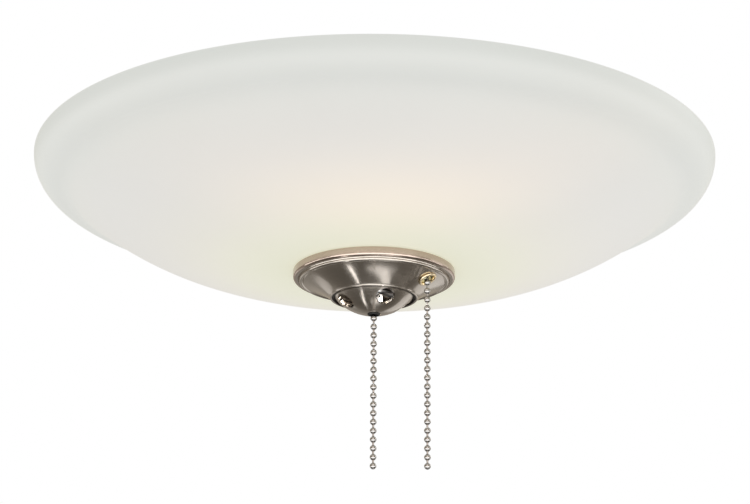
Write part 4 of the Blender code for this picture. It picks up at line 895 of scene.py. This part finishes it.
def make_pad():
    top = PLATE_UNDER - CLEARANCE
    under = top - PAD_THICKNESS
    outline = [(PIPE_HOLE, top), (PAD_RADIUS, top, 0.0004), (PAD_RADIUS, under, 0.0004), (PIPE_HOLE, under)]
    pad = lathe("round_pad", filleted(outline), 144, FINISHES["fibre"])
    nut_hole = upright("nut_hole", SWITCH_NUT_RADIUS + CLEARANCE, LIGHT_CHAIN_PLACE, *PAD_CUT)
    cut(pad, lead_holes(*PAD_CUT) + [nut_hole])
    return put(pad, "fixture", "fibre", "heat_shield")


def make_clamp():
    top, edge = CLAMP_UNDER + CLAMP_THICKNESS, CLAMP_UNDER + CLAMP_EDGE_HEIGHT
    wall = CLAMP_RADIUS - CLAMP_THICKNESS
    outline = [(PIPE_HOLE, top), (wall, top), (wall, edge, 0.0002)]
    outline += [(CLAMP_RADIUS, edge, 0.0002), (CLAMP_RADIUS, CLAMP_UNDER, 0.001), (PIPE_HOLE, CLAMP_UNDER)]
    clamp = lathe("dished_clamp", filleted(outline), 144, FINISHES["steel"])
    cut(clamp, [upright("chain_hole", CLAMP_CHAIN_HOLE, LIGHT_CHAIN_PLACE, CLAMP_UNDER - OVERRUN, edge)])
    return put(clamp, "fixture", "steel", "clamp_plate")


def slot_across(name, seat, out, width, deep, across):
    """A thin box for a screwdriver's slot, its floor this deep in a head that faces out."""
    turn = Vector(out).to_track_quat("Z", "Y")
    return slab(name, Vector(seat) + Vector(out) * (SLOT_BOX / 2 - deep), (width, across, SLOT_BOX), turn)


def make_screw(stands_for, seat, out, radius, length, head, height):
    """A slotted round-head screw that goes into seat, its head facing out."""
    dome = arc((0, height * 0.3), (head, height * 0.7), 90, 0, 9)
    turns = thread(radius, MACHINE_THREAD_DEPTH, MACHINE_PITCH, -length, -CLEARANCE)
    outline = dome + [(head, 0)] + turns[::-1] + [(0, -length - SCREW_TIP)]
    screw = lathe(stands_for + "_turned", outline, 40, FINISHES["steel"], seat, out)
    top = Vector(seat) + Vector(out) * height
    cut(screw, [slot_across("slot", top, out, SLOT_WIDTH, height * 0.5, head * 2.4)])
    return put(screw, "fixture", "steel", stands_for)


make_pan()
make_plate()
make_pad()
make_clamp()
for number, angle in enumerate(SIDE_SCREW_ANGLES, 1):
    place = around(angle, PAN_RADIUS + CLEARANCE, SIDE_SCREW_HEIGHT)
    make_screw(f"pan_screw_{number}", place, around(angle, 1, 0), *PAN_SCREW)


# Lamp holders and lamps

def make_holder(number, angle):
    """One lamp holder and its lamp, drawn along the lamp's axis from the bracket outward."""
    seat, out = around(angle, LAMP_SEAT, LAMP_HEIGHT), around(angle, 1, 0)
    outline = filleted([
        (SOCKET_SCREW_HOLE, 0, 0.0002), (SOCKET_RADIUS, 0, 0.0007), (SOCKET_RADIUS, SOCKET_STEP, 0.0005),
        (SOCKET_NOSE_RADIUS, SOCKET_STEP + 0.0007, 0.0005), (SOCKET_NOSE_RADIUS, SOCKET_LENGTH, 0.0008),
        (SOCKET_BORE, SOCKET_LENGTH, 0.0005), (SOCKET_BORE, SOCKET_BACK), (SOCKET_SCREW_HOLE, SOCKET_BACK),
    ])
    body = lathe(f"glazed_socket_{number}", outline, 96, FINISHES["ceramic"], seat, out)
    foot = around(angle, LEAD_HOLE_CIRCLE, LEAD_WAY_FOOT)
    cut(body, [upright("lead_way", LEAD_WAY_RADIUS, foot, foot.z - CLEARANCE, LEAD_WAY_TOP)])
    put(body, "fixture", "ceramic", f"socket_{number}")

    outer = wave(SHELL_RADIUS, SHELL_THREAD_DEPTH, LAMP_PITCH, SHELL_START, SHELL_END)
    outline = outer + [(radius - SHELL_WALL, height) for radius, height in outer[::-1]]
    shell = lathe(f"rolled_shell_{number}", outline, 64, FINISHES["nickel_plate"], seat, out)
    put(shell, "fixture", "nickel_plate", f"socket_shell_{number}")

    outline = filleted([
        (0, CONTACT_FACE), (CONTACT_FACE_RADIUS, CONTACT_FACE, 0.0004),
        (CONTACT_RADIUS, CONTACT_SHOULDER, 0.0003), (CONTACT_RADIUS, CONTACT_BACK), (0, CONTACT_BACK),
    ])
    contact = lathe(f"round_contact_{number}", outline, 40, FINISHES["brass"], seat, out)
    put(contact, "fixture", "brass", f"socket_contact_{number}")

    outline = [(0, BASE_END), (BASE_RADIUS, BASE_END)]
    outline += wave(BASE_RADIUS, BASE_THREAD_DEPTH, LAMP_PITCH, BASE_THREAD_START, BASE_THREAD_END)[::-1]
    outline += BASE_FOOT + arc((0, BASE_TIP_START), BASE_TIP_SIZE, 0, -90, 7)
    base = lathe(f"rolled_base_{number}", outline, 64, FINISHES["aluminium"], seat, out)
    put(base, f"lamp_{number}", "aluminium", f"lamp_base_{number}")

    belly, growth = GLOBE_START + GLOBE_SWELL, GLOBE_RADIUS - GLOBE_NECK_RADIUS
    outline = [(0, GLOBE_START)]
    for share in spaced(0, 1, 18):
        swell = (1 - math.cos(math.pi * share)) / 2
        outline.append((GLOBE_NECK_RADIUS + growth * swell, GLOBE_START + GLOBE_SWELL * share))
    outline += arc((0, belly), (GLOBE_RADIUS, GLOBE_TIP), 0, 90, 16)[1:-1] + [(0, belly + GLOBE_TIP)]
    globe = lathe(f"round_globe_{number}", outline, 72, FINISHES["lamp_glass"], seat, out)
    put(globe, f"lamp_{number}", "lamp_glass", f"lamp_globe_{number}")

    make_screw(f"socket_screw_{number}", seat - out * SOCKET_SCREW_BACK, -out, *SOCKET_SCREW)


for number, angle in enumerate(LAMP_ANGLES, 1):
    make_holder(number, angle)


# Pull switch and the fan chain's coupling

def make_bushing():
    outline = [(BUSHING_BORE, BUSHING_TOP), (BUSHING_FLANGE_RADIUS, BUSHING_TOP)]
    outline.append((BUSHING_FLANGE_RADIUS, BUSHING_FLANGE_UNDER))
    outline += thread(BUSHING_RADIUS, MACHINE_THREAD_DEPTH, MACHINE_PITCH, *BUSHING_THREAD)[::-1]
    outline += BUSHING_LIP + [(BUSHING_BORE, BUSHING_BORE_END)]
    bushing = lathe("threaded_bushing", outline, 48, FINISHES["nickel_plate"], (*LIGHT_CHAIN_PLACE, 0))
    return put(bushing, "fixture", "nickel_plate", "switch_bushing")


def make_knurled_nut():
    outline = filleted([
        (SWITCH_NUT_HOLE, SWITCH_NUT_UNDER), (SWITCH_NUT_RADIUS, SWITCH_NUT_UNDER, 0.0003),
        (SWITCH_NUT_RADIUS, SWITCH_NUT_TOP, 0.0003), (SWITCH_NUT_HOLE, SWITCH_NUT_TOP),
    ])
    sides = 96
    nut = lathe("knurled_nut", outline, sides, FINISHES["nickel_plate"], (*LIGHT_CHAIN_PLACE, 0))
    middle = Vector((*LIGHT_CHAIN_PLACE, 0))
    for vertex in nut.data.vertices:
        away = vertex.co - middle
        away.z = 0
        if vertex.index % sides % 2 and away.length > KNURL_START:
            vertex.co -= away.normalized() * KNURL_DEPTH
    nut.data.set_sharp_from_angle(angle=SHARP_ANGLE)
    return put(nut, "fixture", "nickel_plate", "switch_nut")


def make_rotor():
    groove = arc((ROTOR_RADIUS, 0), ROTOR_GROOVE, 90, 180, 7)
    end = [(0, AXLE_HALF_LENGTH), (AXLE_RADIUS, AXLE_HALF_LENGTH), (AXLE_RADIUS, ROTOR_HALF_WIDTH),
           (ROTOR_RADIUS, ROTOR_HALF_WIDTH)]
    outline = end + groove + [(radius, -height) for radius, height in groove[-2::-1]]
    outline += [(radius, -height) for radius, height in end[::-1]]
    side = around(LIGHT_CHAIN_ANGLE + math.pi / 2, -ROTOR_OFFSET, ROTOR_HEIGHT)
    place = Vector((*LIGHT_CHAIN_PLACE, 0)) + side
    rotor = lathe("grooved_rotor", outline, 64, FINISHES["phenolic"], place, around(LIGHT_CHAIN_ANGLE, 1, 0))
    return put(rotor, "rotor", "phenolic", "switch_rotor")


def make_coupling():
    bottom = FAN_CHAIN_END + BEAD_PITCH * COUPLING_BEADS - BEAD_RADIUS
    top = bottom + COUPLING_LENGTH
    inner = BEAD_RADIUS + CLEARANCE
    outer = inner + COUPLING_WALL
    outline = filleted([
        (inner, bottom, 0.0002), (outer, bottom, 0.0003), (outer, top, 0.0003), (inner, top, 0.0002),
    ])
    coupling = lathe("turned_coupling", outline, 48, FINISHES["brass"])
    return put(coupling, "fan_pull", "brass", "fan_chain_coupling")


make_bushing()
make_knurled_nut()
make_rotor()
make_coupling()
for name in ("switch_case", "switch_lid", "terminal_block", "socket_bracket"):
    soften(frame["nodes"][name], 0.0003)


# Chains

def make_run(name, place, top, beads, stub, body, stands_for):
    """A run of beads. Each is a hollow ball whose ends turn in a little round the wire."""
    outline = [(0, BEAD_RADIUS * BEAD_FLAT)]
    for number in range(beads):
        middle = -BEAD_PITCH * number
        ball = arc((0, middle), (BEAD_RADIUS, BEAD_RADIUS), 66, -66, 11)
        mouth = [(radius, middle + height) for radius, height in BEAD_MOUTH]
        foot = [(radius, 2 * middle - height) for radius, height in mouth[::-1]]
        outline += (ball if number == 0 else mouth[::-1] + ball) + foot[::-1]
    if stub:
        end = -BEAD_PITCH * beads + BEAD_RADIUS + CLEARANCE
        outline += [(BEAD_ROD_RADIUS, end), (0, end)]
    else:
        outline.append((0, -BEAD_PITCH * (beads - 1) - BEAD_RADIUS * BEAD_FLAT))
    run = lathe(name, outline, 16, FINISHES["chain"], (*place, top))
    return put(run, body, "chain", stands_for)


def make_chain(word, place, lowest, counts):
    inner, upper, lower = counts
    lower_top = lowest + BEAD_PITCH * (lower - 1)
    upper_top = lower_top + BEAD_PITCH * upper
    inner_top = upper_top + BEAD_PITCH * inner
    runs = (
        ("inner", inner_top, inner, "pull"), ("upper", upper_top, upper, "chain_top"),
        ("lower", lower_top, lower, "chain_end"),
    )
    for run, top, beads, body in runs:
        stub = run != "lower"
        make_run(f"{word}_beads_{run}", place, top, beads, stub, f"{word}_{body}", f"{word}_chain_{run}")


make_chain("fan", (0, 0), FAN_CHAIN_END, (9, 7, 10))
make_chain("light", LIGHT_CHAIN_PLACE, LIGHT_CHAIN_END, (17, 10, 10))


# Camera, light and floor

def make_camera():
    data = bpy.data.cameras.new("camera")
    data.lens = CAMERA_LENS
    data.clip_end = 100
    camera = bpy.data.objects.new("camera", data)
    scene.collection.objects.link(camera)
    target = Vector((0, 0, RIM_HEIGHT))
    back = Vector((0, -math.cos(CAMERA_ELEVATION), -math.sin(CAMERA_ELEVATION)))
    camera.location = target + back * CAMERA_DISTANCE
    aim = (-back).to_track_quat("-Z", "Y")
    across, down = CAMERA_SHIFT
    tip = Quaternion((1, 0, 0), -math.atan(down / CAMERA_FOCAL))
    turn = Quaternion((0, 1, 0), -math.atan(across / CAMERA_FOCAL))
    roll = Quaternion((0, 0, 1), CAMERA_ROLL)
    camera.rotation_mode = "QUATERNION"
    camera.rotation_quaternion = aim @ roll @ turn @ tip
    scene.camera = camera


def make_light(name, direction, distance, size, power, colour=(1, 1, 1), along=None, reflected=True):
    """A softbox this far from the cap, which it faces: seen in the metal, or else only falling on surfaces.

    Its size is (across, along), and along is the way that its second side runs.
    """
    target = Vector(LIGHT_TARGET)
    way = Vector(direction).normalized()
    data = bpy.data.lights.new(name, "AREA")
    data.shape = "RECTANGLE"
    data.size, data.size_y = size
    data.energy = power
    data.color = colour
    light = bpy.data.objects.new(name, data)
    scene.collection.objects.link(light)
    light.location = target + way * distance
    side = Vector(along or (0, 0, 1)).cross(way).normalized()
    light.rotation_mode = "QUATERNION"
    light.rotation_quaternion = Matrix((side, way.cross(side), way)).transposed().to_quaternion()
    light.visible_camera = False
    light.visible_glossy = reflected
    light.visible_diffuse = not reflected


def make_glint(name, place, power):
    """A small lamp in the dome, for the bright hub that shows through its holes."""
    data = bpy.data.lights.new(name, "POINT")
    data.energy = power
    data.shadow_soft_size = 0.0012
    light = bpy.data.objects.new(name, data)
    scene.collection.objects.link(light)
    light.location = place
    light.visible_camera = False


def make_world():
    """White behind the object, an even light on its surfaces and a dark warm room in its metal."""
    world = bpy.data.worlds.new("studio")
    world.use_nodes = True
    tree = world.node_tree
    even = tree.nodes["Background"]
    even.inputs["Color"].default_value = (0.98, 1.0, 1.0, 1)
    even.inputs["Strength"].default_value = EVEN_LIGHT
    where = add(tree, "ShaderNodeTexCoord").outputs["Generated"]
    height = add(tree, "ShaderNodeSeparateXYZ", Vector=where).outputs[2]
    rise = add(tree, "ShaderNodeMapRange", Value=height, From_Min=-1.0, From_Max=1.0).outputs[0]
    tones = ramp(tree, rise, ROOM_TONES)
    room = add(tree, "ShaderNodeBackground", Color=tones, Strength=1.0)
    white = add(tree, "ShaderNodeBackground", Color=(1, 1, 1, 1), Strength=1.0)
    path = add(tree, "ShaderNodeLightPath")
    inner = add(tree, "ShaderNodeMixShader", _0=path.outputs["Is Glossy Ray"], _1=even.outputs[0],
                _2=room.outputs[0])
    outer = add(tree, "ShaderNodeMixShader", _0=path.outputs["Is Camera Ray"], _1=inner.outputs[0],
                _2=white.outputs[0])
    join(tree, tree.nodes["World Output"].inputs["Surface"], outer.outputs[0])
    scene.world = world


def make_floor():
    """A pale floor far below, which fades out into the white behind it."""
    shape = bmesh.new()
    corners = [(-FLOOR_HALF, -FLOOR_HALF), (FLOOR_HALF, -FLOOR_HALF), (FLOOR_HALF, FLOOR_HALF),
               (-FLOOR_HALF, FLOOR_HALF)]
    shape.faces.new([shape.verts.new((x, y, FLOOR_HEIGHT)) for x, y in corners])
    finish, tree, shader = material("pale floor", FLOOR_COLOUR, 0.7)
    mottled(tree, shader, FLOOR_COLOUR, 0.6, 0.02, 0.7, 0.05)
    _, radius, _ = ring_coordinates(tree)
    fade = add(tree, "ShaderNodeMapRange", {"interpolation_type": "SMOOTHSTEP"}, Value=radius,
               From_Min=FLOOR_FADE_START, From_Max=FLOOR_FADE_END, To_Min=1.0, To_Max=0.0)
    join(tree, shader.inputs["Alpha"], fade.outputs[0])
    floor = finished("floor", shape, finish)
    floor.visible_glossy = False


make_camera()
make_world()
make_floor()
make_glint("glint_right", (0.004, -0.0135, WEB_UNDER - 0.003), 0.002)
make_glint("glint_left", (-0.0122, -0.0062, WEB_UNDER - 0.004), 0.002)
make_light("below", (0.175, 0.06, -1), 1.3, (0.28, 1.0), 1.15, along=(-0.62, 1, 0))
make_light("below_right", (0.2, 0.3, -1), 1.3, (0.18, 0.35), 0.1, along=(0, 1, 0))
make_light("streak", (-0.31, 0.17, -0.93), 1.3, (0.04, 1.0), 0.55, along=(0.17, 0.68, 0))
make_light("side_left", (-0.53, 0.80, -0.36), 2.0, (0.6, 0.9), 0.8)
make_light("side_right", (0.45, 0.81, -0.35), 2.0, (1.2, 0.9), 1.9)
make_light("front", (0.0, -0.94, 0.36), 2.4, (2.4, 1.0), 16, (1, 0.88, 0.84))
make_light("right", (0.9, 0.26, 0.34), 2.0, (1.5, 1.2), 9, (0.95, 0.97, 1))
make_light("left_low", (-0.93, 0.0, -0.32), 2.0, (1.8, 0.5), 6)
make_light("right_low", (0.93, 0.0, -0.32), 2.0, (1.8, 0.5), 5)
make_light("by_camera", (0, -0.85, -0.53), 2.2, (7.6, 2.1), 122)
make_light("fill", (0.8, -0.7, 0.0), 2.4, (1.5, 1.5), 2, reflected=False)
scene.view_settings.view_transform = "Standard"
